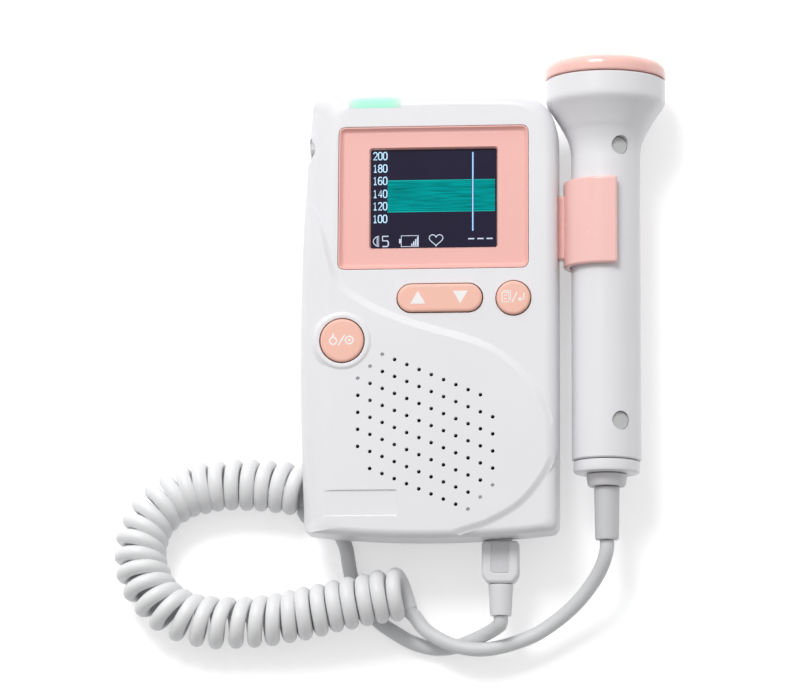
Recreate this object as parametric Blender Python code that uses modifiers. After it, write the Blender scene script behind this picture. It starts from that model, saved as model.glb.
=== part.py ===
"""Handheld fetal doppler monitor lying on its back, with its probe in the side clip and a curly probe lead.

The case lies screen up, its long side along Y, centred on X = Y = 0 while it is modelled. Its battery
box rests on Z = 0. Every object hangs from one empty, which puts the origin under the middle of the case
and probe.
"""
import math

import bpy
import bmesh
from mathutils import Matrix, Vector

# Fits and cuts
GAP = 0.0003
OVERRUN = 0.001
SKIN = 0.00005

# Case
CASE_WIDTH = 0.0786
CASE_LENGTH = 0.1354
KEY_SPACE = 0.0072
SPLIT_Z = 0.015
TRAY_Z = 0.006
WALL = 0.002
TOP_BULGE = 0.0013
TOP_ARCH = 0.0009
FOOT_BULGE = 0.0018
FOOT_ARCH = 0.0024
LEFT_REACH = 0.0012
LEFT_BOW_TOP = 0.0034
LEFT_BOW_FOOT = 0.0017
WIDEST_SHARE = -0.12
FOOT_TAPER_SHARE = -0.30
FRONT_ROUND = {
    "right": (0.0036, 0.0036),
    "top": (0.004, 0.004),
    "left": (0.010, 0.009),
    "foot": (0.0026, 0.003),
}
BACK_ROUND = {
    "right": (0.0055, 0.007),
    "top": (0.0045, 0.007),
    "left": (0.0055, 0.007),
    "foot": (0.0045, 0.007),
}
OUTER_CORNERS = {"foot_right": 0.0040, "top_right": 0.0142, "top_left": 0.0034, "foot_left": 0.0034}
FACE_CORNERS = {"foot_right": 0.0036, "top_right": 0.0124, "top_left": 0.0060, "foot_left": 0.0060}

# The raised lower left of the face, and the sweeping step along its edge
STEP_HEIGHT = 0.001
STEP_SLOPE = 0.0018
SWEEP_SHARES = [
    (-1.30, 0.66), (-1.00, 0.52), (-0.86, 0.38), (-0.73, 0.16), (-0.49, 0.045),
    (-0.13, -0.045), (0.35, -0.13), (0.59, -0.205), (0.83, -0.345), (0.945, -0.51),
    (0.970, -0.62), (0.90, -0.735), (0.715, -0.868), (0.47, -0.953), (0.25, -0.995),
    (0.00, -1.05),
]

# Screws, bosses and columns of the case, mirrored in X
SCREW_TOP_INSET = 0.0067
SCREW_FOOT_INSET = 0.0077
SCREW_SIDE_INSET = 0.0101
BOSS_RADIUS = 0.0027
PILOT_RADIUS = 0.0010
COLUMN_RADIUS = 0.0036
SCREW_HEAD_RADIUS = 0.0022
SCREW_HEAD_HEIGHT = 0.0014
SCREW_RADIUS = 0.0008
SCREW_REACH = 0.0150
COUNTERBORE_DEPTH = 0.0032

# Screen: bezel tray, window and module
BEZEL_LEFT_TOP_SHARE = -0.713
BEZEL_LEFT_FOOT_SHARE = -0.7175
BEZEL_RIGHT_SHARE = 0.777
BEZEL_TOP_SHARE = 0.8626
BEZEL_FOOT_SHARE = 0.2053
BEZEL_CORNER = 0.0016
BEZEL_FLANGE = 0.0012
BEZEL_FLANGE_THICK = 0.0013
BEZEL_DEPTH = 0.0012
BEZEL_SLOPE = 0.0013
BEZEL_RIM = 0.0003
LCD_WIDTH = 0.0391
LCD_LENGTH = 0.0311
LCD_CORNER = 0.0006
WINDOW_THICK = 0.0010
MODULE_BORDER = 0.0030
MODULE_CORNER = 0.0010

# Keys
KEY_GAP = 0.0004
KEY_FLANGE = 0.0010
KEY_FLANGE_THICK = 0.0010
KEY_PROUD = 0.0010
KEY_ROUND = 0.0004
STEM_RADIUS = 0.0015
KEY_TRAVEL = 0.0006
ROCKER_X_SHARE = 0.0847
ROCKER_Y_SHARE = 0.0684
ROCKER_LENGTH = 0.0261
ROCKER_WIDTH = 0.0086
ROCKER_STEM_X = 0.0085
ROCKER_HOLD = 0.0070
MENU_X_SHARE = 0.661
MENU_Y_SHARE = 0.0645
MENU_RADIUS = 0.0052
POWER_X_SHARE = -0.679
POWER_Y_SHARE = -0.1256
POWER_RADIUS = 0.0069
COLLAR_WIDTH = 0.0022
COLLAR_HEIGHT = 0.0005
TACT_SIZE = 0.0060
TACT_BODY = 0.0030
TACT_PLUNGER = 0.0006

# Speaker and its grille
GRILLE_X_SHARE = -0.554
GRILLE_Y_SHARE = -0.1669
COLUMN_PITCH_SHARE = 0.0959
ROW_PITCH_SHARE = 0.0777
COLUMN_DROP_SHARE = 0.0236
HOLE_RADIUS = 0.00058
HOLE_SIDES = 6
SKIPPED_COUNT = [2, 1, 0, 0, 0, 0, 0, 0, 0, 0, 0, 1]
HOLE_COUNT = [5, 7, 8, 8, 8, 8, 8, 8, 8, 8, 7, 5]
BLIND_DEPTH = 0.0004
SPEAKER_X_SHARE = -0.0229
SPEAKER_Y_SHARE = -0.545
SPEAKER_RADIUS = 0.0200
SPEAKER_RIM = 0.0028
SPEAKER_SEAT_RADIUS = 0.0098
SPEAKER_DEPTH = 0.0034
SHEET = 0.0006
MAGNET_RADIUS = 0.0090

# Bare rectangle pressed into the foot of the face
PLATE_X_SHARE = -0.539
PLATE_INSET = 0.0090
PLATE_WIDTH = 0.0215
PLATE_LENGTH = 0.0073
PLATE_DEPTH = 0.0004

# Light pipe on the top edge, and its lamps
PIPE_X_SHARE = -0.43
PIPE_WIDTH = 0.0158
PIPE_LENGTH = 0.0022
PIPE_DEPTH = 0.0030
LAMP_RADIUS = 0.0012
LAMP_SPACING = 0.0072

# Boards
BOARD_ROOM = 0.0010
BOARD_THICK = 0.0016
BOARD_SIDE_INSET = 0.0083
BOARD_TOP_INSET = 0.0107
BOARD_FOOT_INSET = 0.0117
TONGUE_TOP_INSET = 0.0018
TONGUE_FOOT_INSET = 0.0032

# Sockets
USB_X_SHARE = 0.5394
USB_WIDTH = 0.0076
USB_HEIGHT = 0.0028
USB_DEPTH = 0.0056
USB_SHEET = 0.0003
USB_OPENING_WIDTH = 0.0084
USB_OPENING_HEIGHT = 0.0036
JACK_Y_SHARE = 0.7725
JACK_RECESS_RADIUS = 0.0040
JACK_RECESS_DEPTH = 0.0012
JACK_RADIUS = 0.0028
JACK_BORE = 0.0018
JACK_LENGTH = 0.0085

# Battery box, cells and door
BOX_HALF_WIDTH = 0.0290
BOX_END = 0.0098
BOX_FOOT_SHARE = -0.4136
BOX_CORNER = 0.0060
BOX_ROUND = 0.0015
CELL_ROOM = 0.0005
SPRING_ROOM = 0.0067
BAY_INSET = 0.0052
BAY_WALL = 0.0012
CELL_RADIUS = 0.0071
CELL_LENGTH = 0.0503
CELL_NIPPLE = 0.0012
CELL_NIPPLE_RADIUS = 0.0027
CONTACT_THICK = 0.0005
CONTACT_WIDTH = 0.0110
CONTACT_HEIGHT = 0.0120
SPRING_RADIUS = 0.0036
SPRING_WIRE = 0.0007
SPRING_TURNS = 3
DOOR_SIDE_LAP = 0.0018
DOOR_LAP = 0.0016
DOOR_THICK = 0.0013
DOOR_INSET = 0.0004
DOOR_LIP = 0.0050
GRIP_COUNT = 5
GRIP_LENGTH = 0.0140
GRIP_WIDTH = 0.0007
GRIP_PITCH = 0.0018
GRIP_HEIGHT = 0.0002

# Probe: a radius and a distance along the case for each point of the turned outline
PROBE_OFFSET = 0.0147
PROBE_RISE = 0.0042
PROBE_INSET = 0.0677
PROBE_TURN = math.radians(28)
PROBE_STEPS = 28
HANDLE_RADIUS = 0.0107
HANDLE_END = -0.0453
NECK_Y = 0.0490
HEAD_RADIUS = 0.0186
HEAD_FOOT = 0.0668
HEAD_TOP = 0.0733
PROBE_WALL = 0.0018
FLARE_SHARES = [(0.93, 0.955), (0.56, 0.70), (0.355, 0.53), (0.215, 0.415), (0.075, 0.25), (0.015, 0.11)]
CAP_RADIUS = 0.0188
CAP_HEIGHT = 0.0079
CAP_SHARES = [(1.0, 0.30), (0.985, 0.53), (0.93, 0.74), (0.82, 0.86), (0.55, 0.96)]
CAP_SPIGOT = 0.0022
CRYSTAL_RADIUS = 0.0115
CRYSTAL_THICK = 0.0020
CRYSTAL_SPLIT = 0.0010
BACKING_THICK = 0.0040
PROBE_BOARD_FOOT = -0.0290
PROBE_BOARD_TOP = 0.0455
PROBE_BOARD_THICK = 0.0014
HEAD_SCREW_Y = 0.0516
HANDLE_SCREW_Y = -0.0339
POCKET_RADIUS = 0.0026
POCKET_DEPTH = 0.0030
PILLAR_RADIUS = 0.0026
PROBE_HEAD_RADIUS = 0.0020
PROBE_HEAD_HEIGHT = 0.0011
COVER_THICK = 0.0006
COVER_INSET = 0.0004
COLLAR_RADIUS = 0.0102
COLLAR_LENGTH = 0.0036
GLAND_RADIUS = 0.0063
GLAND_END_RADIUS = 0.0058
GLAND_LENGTH = 0.0036
SLEEVE_RADIUS = 0.00385
SLEEVE_END_RADIUS = 0.0036
SLEEVE_LENGTH = 0.0161

# Side clip
CLIP_WALL = 0.0021
CLIP_FIT = 0.0003
CLIP_REACH = 0.0041
CLIP_FOOT = 0.0144
CLIP_LENGTH = 0.0278
CLIP_ARC_STEPS = 18
CLIP_ROUND = 0.0005
NECK_FOOT = 0.0173
NECK_LENGTH = 0.0198
NECK_THICK = 0.0050
FOOT_BORDER = 0.0016
FOOT_THICK = 0.0015

# Lead: cord, curly stretch and plug
CORD_DIAMETER = 0.0043
COIL_RADIUS = 0.0058
COIL_PITCH = 0.00484
COIL_LAST_PITCH = 0.0066
POINTS_PER_CURL = 9
TUBE_STEP = 0.0062
PLUG_WIDTH = 0.0114
PLUG_LENGTH = 0.0130
PLUG_THICK = 0.0070
PLUG_FOOT_WIDTH = 0.0080
PLUG_CHAMFER = 0.0030
PLUG_ROUND = 0.0008
PLUG_PANEL_WIDTH = 0.0052
PLUG_PANEL_END = 0.0032
PLUG_PANEL_DEPTH = 0.0005
TONGUE_WIDTH = 0.00685
TONGUE_HEIGHT = 0.0017
TONGUE_REACH = 0.0052
RELIEF_RADIUS = 0.0038
RELIEF_END_RADIUS = 0.0033
RELIEF_LENGTH = 0.0095

# Hand-laid routes of the lead, as X, Y, Z
COIL_ROUTE = [
    (-0.0070, -0.0844, 0.0130), (-0.0200, -0.0866, 0.0132), (-0.0315, -0.0889, 0.0124),
    (-0.0430, -0.0914, 0.0104), (-0.0545, -0.0932, 0.0086), (-0.0730, -0.0935, 0.0082),
    (-0.0834, -0.0891, 0.0088), (-0.0902, -0.0801, 0.0091), (-0.0916, -0.0689, 0.0091),
    (-0.0872, -0.0585, 0.0089), (-0.0782, -0.0517, 0.0084), (-0.0664, -0.0500, 0.0082),
    (-0.0561, -0.0501, 0.0082), (-0.0480, -0.0509, 0.0082), (-0.0408, -0.0522, 0.0082),
]
PROBE_CORD_ROUTE = [
    (0.0534, -0.0745, 0.0186), (0.0524, -0.0772, 0.0175), (0.0504, -0.0807, 0.0156),
    (0.0467, -0.0855, 0.0130), (0.0424, -0.0898, 0.0110), (0.0373, -0.0938, 0.0096),
    (0.0316, -0.0974, 0.0090), (0.0256, -0.0998, 0.0090), (0.0198, -0.1014, 0.0092),
    (0.0142, -0.1020, 0.0094), (0.0082, -0.1012, 0.0092), (0.0022, -0.0989, 0.0085),
    (-0.0028, -0.0956, 0.0077), (-0.0050, -0.0915, 0.0073),
]
PLUG_CORD_ROUTE = [
    (-0.0388, -0.0606, 0.0024), (-0.0358, -0.0626, 0.0024), (-0.0326, -0.0636, 0.0024),
    (-0.0302, -0.0656, 0.0024), (-0.0289, -0.0684, 0.0024), (-0.0280, -0.0712, 0.0024),
    (-0.0266, -0.0752, 0.0024), (-0.0243, -0.0806, 0.0024), (-0.0211, -0.0864, 0.0024),
    (-0.0171, -0.0920, 0.0024), (-0.0124, -0.0962, 0.0024), (-0.0070, -0.0992, 0.0024),
    (-0.0004, -0.1010, 0.0025), (0.0062, -0.1006, 0.0034), (0.0112, -0.0990, 0.0056),
    (0.0154, -0.0975, 0.0085), (0.0185, -0.0962, 0.0115), (0.0205, -0.0951, 0.0141),
]

# Levels, from the battery door up to the face
BATTERY_Z = DOOR_INSET + DOOR_THICK + GAP + CELL_RADIUS
BOARD_Z = BATTERY_Z + CELL_RADIUS + BOARD_ROOM
BOARD_TOP_Z = BOARD_Z + BOARD_THICK
CEILING_Z = BOARD_TOP_Z + KEY_SPACE
FACE_Z = CEILING_Z + WALL
CASE_TOP = FACE_Z + STEP_HEIGHT
FLANGE_TOP_Z = CEILING_Z - GAP
PIPE_FOOT_Z = CEILING_Z - PIPE_DEPTH
USB_Z = BOARD_Z - GAP - USB_HEIGHT / 2
JACK_Z = BOARD_TOP_Z + GAP + JACK_RADIUS
PROBE_Z = SPLIT_Z + PROBE_RISE

# Places in plan, from the case's half width and half length
HALF_WIDTH = CASE_WIDTH / 2
HALF_LENGTH = CASE_LENGTH / 2
SCREW_X = HALF_WIDTH - SCREW_SIDE_INSET
SCREW_TOP_Y = HALF_LENGTH - SCREW_TOP_INSET
SCREW_FOOT_Y = SCREW_FOOT_INSET - HALF_LENGTH
BEZEL_LEFT_TOP = BEZEL_LEFT_TOP_SHARE * HALF_WIDTH
BEZEL_LEFT_FOOT = BEZEL_LEFT_FOOT_SHARE * HALF_WIDTH
BEZEL_RIGHT = BEZEL_RIGHT_SHARE * HALF_WIDTH
BEZEL_TOP = BEZEL_TOP_SHARE * HALF_LENGTH
BEZEL_FOOT = BEZEL_FOOT_SHARE * HALF_LENGTH
LCD_X = (BEZEL_RIGHT + (BEZEL_LEFT_TOP + BEZEL_LEFT_FOOT) / 2) / 2
LCD_Y = (BEZEL_TOP + BEZEL_FOOT) / 2
ROCKER_X, ROCKER_Y = ROCKER_X_SHARE * HALF_WIDTH, ROCKER_Y_SHARE * HALF_LENGTH
MENU_X, MENU_Y = MENU_X_SHARE * HALF_WIDTH, MENU_Y_SHARE * HALF_LENGTH
POWER_X, POWER_Y = POWER_X_SHARE * HALF_WIDTH, POWER_Y_SHARE * HALF_LENGTH
GRILLE_X, GRILLE_Y = GRILLE_X_SHARE * HALF_WIDTH, GRILLE_Y_SHARE * HALF_LENGTH
COLUMN_PITCH = COLUMN_PITCH_SHARE * HALF_WIDTH
ROW_PITCH = ROW_PITCH_SHARE * HALF_LENGTH
COLUMN_DROP = COLUMN_DROP_SHARE * HALF_LENGTH
SPEAKER_X, SPEAKER_Y = SPEAKER_X_SHARE * HALF_WIDTH, SPEAKER_Y_SHARE * HALF_LENGTH
PLATE_X, PLATE_Y = PLATE_X_SHARE * HALF_WIDTH, PLATE_INSET - HALF_LENGTH
PIPE_X = PIPE_X_SHARE * HALF_WIDTH
USB_X = USB_X_SHARE * HALF_WIDTH
JACK_Y = JACK_Y_SHARE * HALF_LENGTH
BOARD_HALF_WIDTH = HALF_WIDTH - BOARD_SIDE_INSET
BOARD_TOP, BOARD_FOOT = HALF_LENGTH - BOARD_TOP_INSET, BOARD_FOOT_INSET - HALF_LENGTH
TONGUE_TOP, TONGUE_FOOT = HALF_LENGTH - TONGUE_TOP_INSET, TONGUE_FOOT_INSET - HALF_LENGTH
CELL_X = CELL_RADIUS + CELL_ROOM
BAY_HALF_WIDTH = CELL_X + CELL_RADIUS + 2 * GAP
DOOR_HALF_WIDTH = BAY_HALF_WIDTH + DOOR_SIDE_LAP
BOX_FOOT = BOX_FOOT_SHARE * HALF_LENGTH
BAY_FOOT = BOX_FOOT + BAY_INSET
BAY_TOP = BAY_FOOT + CELL_LENGTH + SPRING_ROOM
BOX_TOP = BAY_TOP + BOX_END
PROBE_X = HALF_WIDTH + PROBE_OFFSET
PROBE_Y = HALF_LENGTH - PROBE_INSET

# Stations along the probe, from the probe's own origin
PROBE_SCREW_PLACES = (HEAD_SCREW_Y, HANDLE_SCREW_Y)
CLIP_RADIUS = HANDLE_RADIUS + CLIP_FIT
CAP_TOP = HEAD_TOP + GAP + CAP_HEIGHT
COLLAR_Y = HANDLE_END - GAP
GLAND_Y = COLLAR_Y - COLLAR_LENGTH - GAP
SLEEVE_Y = GLAND_Y - GLAND_LENGTH - GAP
SLEEVE_END = SLEEVE_Y - SLEEVE_LENGTH
CENTRE_X = (PROBE_X + CAP_RADIUS - HALF_WIDTH) / 2
CENTRE_Y = PROBE_Y + (CAP_TOP + SLEEVE_END) / 2

WHITE = ((0.83, 0.82, 0.85, 1), 0.28, 0.0)
PINK = ((0.90, 0.50, 0.44, 1), 0.35, 0.0)
KEY_PINK = ((0.92, 0.53, 0.43, 1), 0.40, 0.0)
CORD_WHITE = ((0.72, 0.73, 0.74, 1), 0.45, 0.0)
GREY = ((0.55, 0.57, 0.56, 1), 0.55, 0.0)
DARK = ((0.02, 0.02, 0.05, 1), 0.15, 0.0)
MINT = ((0.45, 0.95, 0.80, 1), 0.20, 0.0)
BOARD_GREEN = ((0.02, 0.22, 0.10, 1), 0.50, 0.0)
STEEL = ((0.60, 0.60, 0.62, 1), 0.30, 1.0)
BLACK = ((0.03, 0.03, 0.03, 1), 0.60, 0.0)
CERAMIC = ((0.75, 0.68, 0.50, 1), 0.50, 0.0)


def empty_scene():
    for obj in list(bpy.data.objects):
        bpy.data.objects.remove(obj, do_unlink=True)


def new_collection(name):
    collection = bpy.data.collections.new(name)
    bpy.context.scene.collection.children.link(collection)
    return collection


empty_scene()
PARTS = new_collection("fetal_doppler")
CUTTERS = new_collection("cutters")
ROOT = bpy.data.objects.new("doppler_origin", None)
ROOT.location = (-CENTRE_X, -CENTRE_Y, 0)
PARTS.objects.link(ROOT)
PROBE_AXIS = bpy.data.objects.new("probe_axis", None)
PROBE_AXIS.location = (PROBE_X, PROBE_Y, PROBE_Z)
PROBE_AXIS.rotation_euler = (-math.pi / 2, PROBE_TURN, 0)
PROBE_AXIS.parent = ROOT
PARTS.objects.link(PROBE_AXIS)


def make_material(name, look):
    material = bpy.data.materials.new(name)
    material.use_nodes = True
    shader = material.node_tree.nodes["Principled BSDF"]
    shader.inputs["Base Color"].default_value = look[0]
    shader.inputs["Roughness"].default_value = look[1]
    shader.inputs["Metallic"].default_value = look[2]
    material.diffuse_color = look[0]
    return material


def place(obj, parent, look):
    """Finish an object as one sub-part: its collection, its parent and its own material."""
    PARTS.objects.link(obj)
    obj.parent = parent
    obj.data.materials.clear()
    obj.data.materials.append(make_material(obj.name, look))
    return obj


def pivot(name, spot):
    """An empty on a joint's axis, for the pieces that move there."""
    empty = bpy.data.objects.new(name, None)
    empty.location = spot
    empty.parent = ROOT
    PARTS.objects.link(empty)
    return empty


def hang(obj, empty, look):
    """Finish an object modelled in the case's frame as a sub-part that moves with a pivot."""
    place(obj, empty, look)
    obj.matrix_parent_inverse = empty.matrix_basis.inverted()
    return obj


def guide(obj, parent=ROOT):
    """Finish an object as a cutter, which shapes others and isn't a sub-part."""
    CUTTERS.objects.link(obj)
    obj.parent = parent
    obj.hide_render = True
    obj.display_type = "WIRE"
    return obj


def mesh_object(name, bm):
    bmesh.ops.recalc_face_normals(bm, faces=bm.faces)
    mesh = bpy.data.meshes.new(name)
    bm.to_mesh(mesh)
    bm.free()
    return bpy.data.objects.new(name, mesh)


def loft(name, rings):
    """A closed solid through rings that have the same number of points."""
    bm = bmesh.new()
    loops = [[bm.verts.new(point) for point in ring] for ring in rings]
    count = len(loops[0])
    for low, high in zip(loops, loops[1:]):
        for i in range(count):
            j = (i + 1) % count
            bm.faces.new((low[i], low[j], high[j], high[i]))
    bm.faces.new(loops[0])
    bm.faces.new(loops[-1])
    return mesh_object(name, bm)


def add_box(bm, low, high):
    centre = [(a + b) / 2 for a, b in zip(low, high)]
    size = [b - a for a, b in zip(low, high)]
    bmesh.ops.create_cube(bm, size=1, matrix=Matrix.Translation(centre) @ Matrix.Diagonal((*size, 1)))


def boxes(name, corners):
    """One object from boxes, each given by its low and high corner."""
    bm = bmesh.new()
    for low, high in corners:
        add_box(bm, low, high)
    return mesh_object(name, bm)


def add_rod(bm, start, end, radius, end_radius=None, sides=16):
    start, end = Vector(start), Vector(end)
    run = end - start
    turn = run.to_track_quat("Z", "Y").to_matrix().to_4x4()
    bmesh.ops.create_cone(
        bm, cap_ends=True, segments=sides,
        radius1=radius, radius2=radius if end_radius is None else end_radius,
        depth=run.length, matrix=Matrix.Translation((start + end) / 2) @ turn,
    )


def rods(name, runs, sides=16):
    """One object from round rods, each given by its start, end and radius."""
    bm = bmesh.new()
    for start, end, radius in runs:
        add_rod(bm, start, end, radius, sides=sides)
    return mesh_object(name, bm)


def curve_to_mesh(name, curve_object):
    bpy.context.scene.collection.objects.link(curve_object)
    graph = bpy.context.evaluated_depsgraph_get()
    mesh = bpy.data.meshes.new_from_object(curve_object.evaluated_get(graph))
    bm = bmesh.new()
    bm.from_mesh(mesh)
    bmesh.ops.remove_doubles(bm, verts=bm.verts, dist=SKIN / 10)
    solid = mesh_object(name, bm)
    bpy.data.objects.remove(curve_object, do_unlink=True)
    return solid


def plate(name, outline, low, high):
    """A flat outline given a thickness from one level to another."""
    curve = bpy.data.curves.new(name + "_outline", "CURVE")
    curve.dimensions = "2D"
    curve.fill_mode = "BOTH"
    curve.extrude = (high - low) / 2
    spline = curve.splines.new("POLY")
    spline.points.add(len(outline) - 1)
    for point, (x, y) in zip(spline.points, outline):
        point.co = (x, y, 0, 1)
    spline.use_cyclic_u = True
    solid = curve_to_mesh(name, bpy.data.objects.new(name + "_outline", curve))
    solid.data.transform(Matrix.Translation((0, 0, (low + high) / 2)))
    return solid


def turned(name, profile, steps, closed=False):
    """A profile of radius and height, running down its outer side, turned about Z."""
    edges = [(i, i + 1) for i in range(len(profile) - 1)]
    if closed:
        edges.append((len(profile) - 1, 0))
    mesh = bpy.data.meshes.new(name)
    mesh.from_pydata([(radius, 0, height) for radius, height in profile], edges, [])
    obj = bpy.data.objects.new(name, mesh)
    screw = obj.modifiers.new("turn", "SCREW")
    screw.steps = steps
    screw.render_steps = steps
    screw.use_merge_vertices = True
    screw.merge_threshold = SKIN / 10
    screw.use_smooth_shade = False
    return obj


def combine(obj, other, operation="DIFFERENCE"):
    boolean = obj.modifiers.new(other.name, "BOOLEAN")
    boolean.operation = operation
    boolean.object = other
    boolean.solver = "EXACT"
    return obj


def round_edges(obj, width, segments=2, angle=40):
    bevel = obj.modifiers.new("round", "BEVEL")
    bevel.width = width
    bevel.segments = segments
    bevel.limit_method = "ANGLE"
    bevel.angle_limit = math.radians(angle)
    return obj


def arc(centre, radius, start, end, steps):
    angles = [math.radians(start + (end - start) * i / steps) for i in range(steps + 1)]
    return [(centre[0] + radius * math.cos(a), centre[1] + radius * math.sin(a)) for a in angles]


def rounded_box(centre, width, length, radius, steps=4):
    """Outline of a rectangle with round corners, anticlockwise."""
    x, y = width / 2 - radius, length / 2 - radius
    outline = []
    for quarter, (side, end) in enumerate(((x, y), (-x, y), (-x, -y), (x, -y))):
        corner = (centre[0] + side, centre[1] + end)
        outline += arc(corner, radius, 90 * quarter, 90 * quarter + 90, steps)
    return outline


def through(a, b, c, d, t):
    """A point between b and c on a smooth curve that passes through every point."""
    square, cube = 2 * a - 5 * b + 4 * c - d, 3 * b - a - 3 * c + d
    return (2 * b + (c - a) * t + square * t ** 2 + cube * t ** 3) / 2


def beside(a, b, c, d, t):
    """A point between b and c on an evenly bending curve that passes close to every point."""
    near = (4 - 6 * t ** 2 + 3 * t ** 3) * b + (1 + 3 * t + 3 * t ** 2 - 3 * t ** 3) * c
    return ((1 - t) ** 3 * a + near + t ** 3 * d) / 6


def smooth_route(route, step, curve=through, per_span=24):
    """Points a given step apart on a smooth curve along the route, both ends kept."""
    knots = [Vector(point) for point in route]
    knots = [2 * knots[0] - knots[1], *knots, 2 * knots[-1] - knots[-2]]
    fine = []
    for four in zip(knots, knots[1:], knots[2:], knots[3:]):
        fine += [curve(*four, i / per_span) for i in range(per_span)]
    fine.append(knots[-2])
    lengths = [0]
    for a, b in zip(fine, fine[1:]):
        lengths.append(lengths[-1] + (b - a).length)
    count = max(2, round(lengths[-1] / step))
    points, i = [], 0
    for k in range(count + 1):
        target = lengths[-1] * k / count
        while i < len(fine) - 2 and lengths[i + 1] < target:
            i += 1
        share = (target - lengths[i]) / (lengths[i + 1] - lengths[i])
        points.append(fine[i].lerp(fine[i + 1], share))
    return points


def tube(name, points, diameter, resolution):
    curve = bpy.data.curves.new(name, "CURVE")
    curve.dimensions = "3D"
    curve.bevel_depth = diameter / 2
    curve.bevel_resolution = resolution
    curve.use_fill_caps = True
    spline = curve.splines.new("POLY")
    spline.points.add(len(points) - 1)
    for point, place_of in zip(spline.points, points):
        point.co = (*place_of, 1)
    return bpy.data.objects.new(name, curve)


# The case form

def case_sides(inset):
    """The four edges of the case in plan, each moved inwards by its own inset."""
    half_w, half_l = CASE_WIDTH / 2, CASE_LENGTH / 2
    widest, taper = WIDEST_SHARE * half_l, FOOT_TAPER_SHARE * half_l

    def left(y):
        upper = max(0, (y - widest) / (half_l - widest))
        lower = max(0, (taper - y) / (half_l + taper))
        bow = LEFT_BOW_TOP * upper ** 2 + LEFT_BOW_FOOT * lower ** 1.25
        return bow - half_w - LEFT_REACH + inset["left"]

    return {
        "right": lambda y: half_w - inset["right"],
        "left": left,
        "top": lambda x: half_l + TOP_BULGE - TOP_ARCH * (x / half_w) ** 2 - inset["top"],
        "foot": lambda x: FOOT_ARCH * (x / half_w) ** 2 - half_l - FOOT_BULGE + inset["foot"],
    }


def case_outline(inset, corners, rise, side_steps=7, corner_steps=5):
    """Points anticlockwise round the case in plan, each with the height of the rounding there."""
    side = case_sides(inset)
    turns = {}
    for end, up in (("foot", -1), ("top", 1)):
        for flank, out in (("left", -1), ("right", 1)):
            radius = corners[end + "_" + flank]
            x = side[flank](up * (CASE_LENGTH / 2 - inset[end]))
            y = side[end](x)
            on_flank = Vector((side[flank](y - up * radius), y - up * radius))
            on_end = Vector((x - out * radius, side[end](x - out * radius)))
            turns[end, flank] = (on_flank, Vector((x, y)), on_end)

    points = []

    def turn(end, flank, from_flank):
        a, b, c = turns[end, flank] if from_flank else reversed(turns[end, flank])
        low, high = (rise[flank], rise[end]) if from_flank else (rise[end], rise[flank])
        for i in range(corner_steps + 1):
            t = i / corner_steps
            spot = a * (1 - t) ** 2 + b * 2 * t * (1 - t) + c * t ** 2
            points.append((spot.x, spot.y, low + (high - low) * t))
        return c

    def run(name, start, stop, along_y):
        for i in range(1, side_steps):
            t = i / side_steps
            if along_y:
                y = start.y + (stop.y - start.y) * t
                points.append((side[name](y), y, rise[name]))
            else:
                x = start.x + (stop.x - start.x) * t
                points.append((x, side[name](x), rise[name]))

    run("right", turns["foot", "right"][0], turns["top", "right"][0], True)
    run("top", turn("top", "right", True), turns["top", "left"][2], False)
    run("left", turn("top", "left", False), turns["foot", "left"][0], True)
    run("foot", turn("foot", "left", True), turns["foot", "right"][2], False)
    turn("foot", "right", False)
    return points


def case_form(name, inset, rim_z, cap_z, rounds, arc_steps=4):
    """A solid of the case's outline from its rim to a flat cap, with another rounding on each side."""
    rise = {side: rounds[side][1] for side in rounds}
    outer = case_outline({side: inset for side in rounds}, OUTER_CORNERS, rise)
    inner = case_outline({side: inset + rounds[side][0] for side in rounds}, FACE_CORNERS, rise)
    away = math.copysign(1, cap_z - rim_z)
    rings = [[(x, y, rim_z) for x, y, height in outer]]
    for k in range(arc_steps + 1):
        turn = math.pi / 2 * k / arc_steps
        inward, drop = 1 - math.cos(turn), 1 - math.sin(turn)
        rings.append([
            (a[0] + (b[0] - a[0]) * inward, a[1] + (b[1] - a[1]) * inward, cap_z - away * a[2] * drop)
            for a, b in zip(outer, inner)
        ])
    return loft(name, rings)


def sweep_cutter():
    """What is cut off the upper right of the face, so that the lower left stands out."""
    half_w, half_l = CASE_WIDTH / 2, CASE_LENGTH / 2
    line = smooth_route([(x * half_w, y * half_l, 0) for x, y in SWEEP_SHARES], STEP_SLOPE * 1.5)
    far = [(half_w * x, half_l * y) for x, y in ((0.0, -1.3), (1.3, -1.3), (1.3, 1.3), (-1.3, 1.3))]
    outward = [(b - a).normalized() for a, b in zip(line, line[1:])]
    outward = [outward[0], *((a + b).normalized() for a, b in zip(outward, outward[1:])), outward[-1]]

    def ring(offset, z):
        edge = [(p.x + t.y * offset, p.y - t.x * offset, z) for p, t in zip(line, outward)]
        return edge + [(x, y, z) for x, y in far]

    half = STEP_SLOPE / 2
    over = STEP_SLOPE * OVERRUN / STEP_HEIGHT
    cutter = loft("sweep_cutter", [
        ring(-half, SPLIT_Z + WALL), ring(-half, FACE_Z), ring(half + over, CASE_TOP + OVERRUN),
    ])
    lowered = case_form("lowered_face", -SKIN, SPLIT_Z, FACE_Z, FRONT_ROUND)
    return combine(guide(cutter), guide(lowered))


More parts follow.
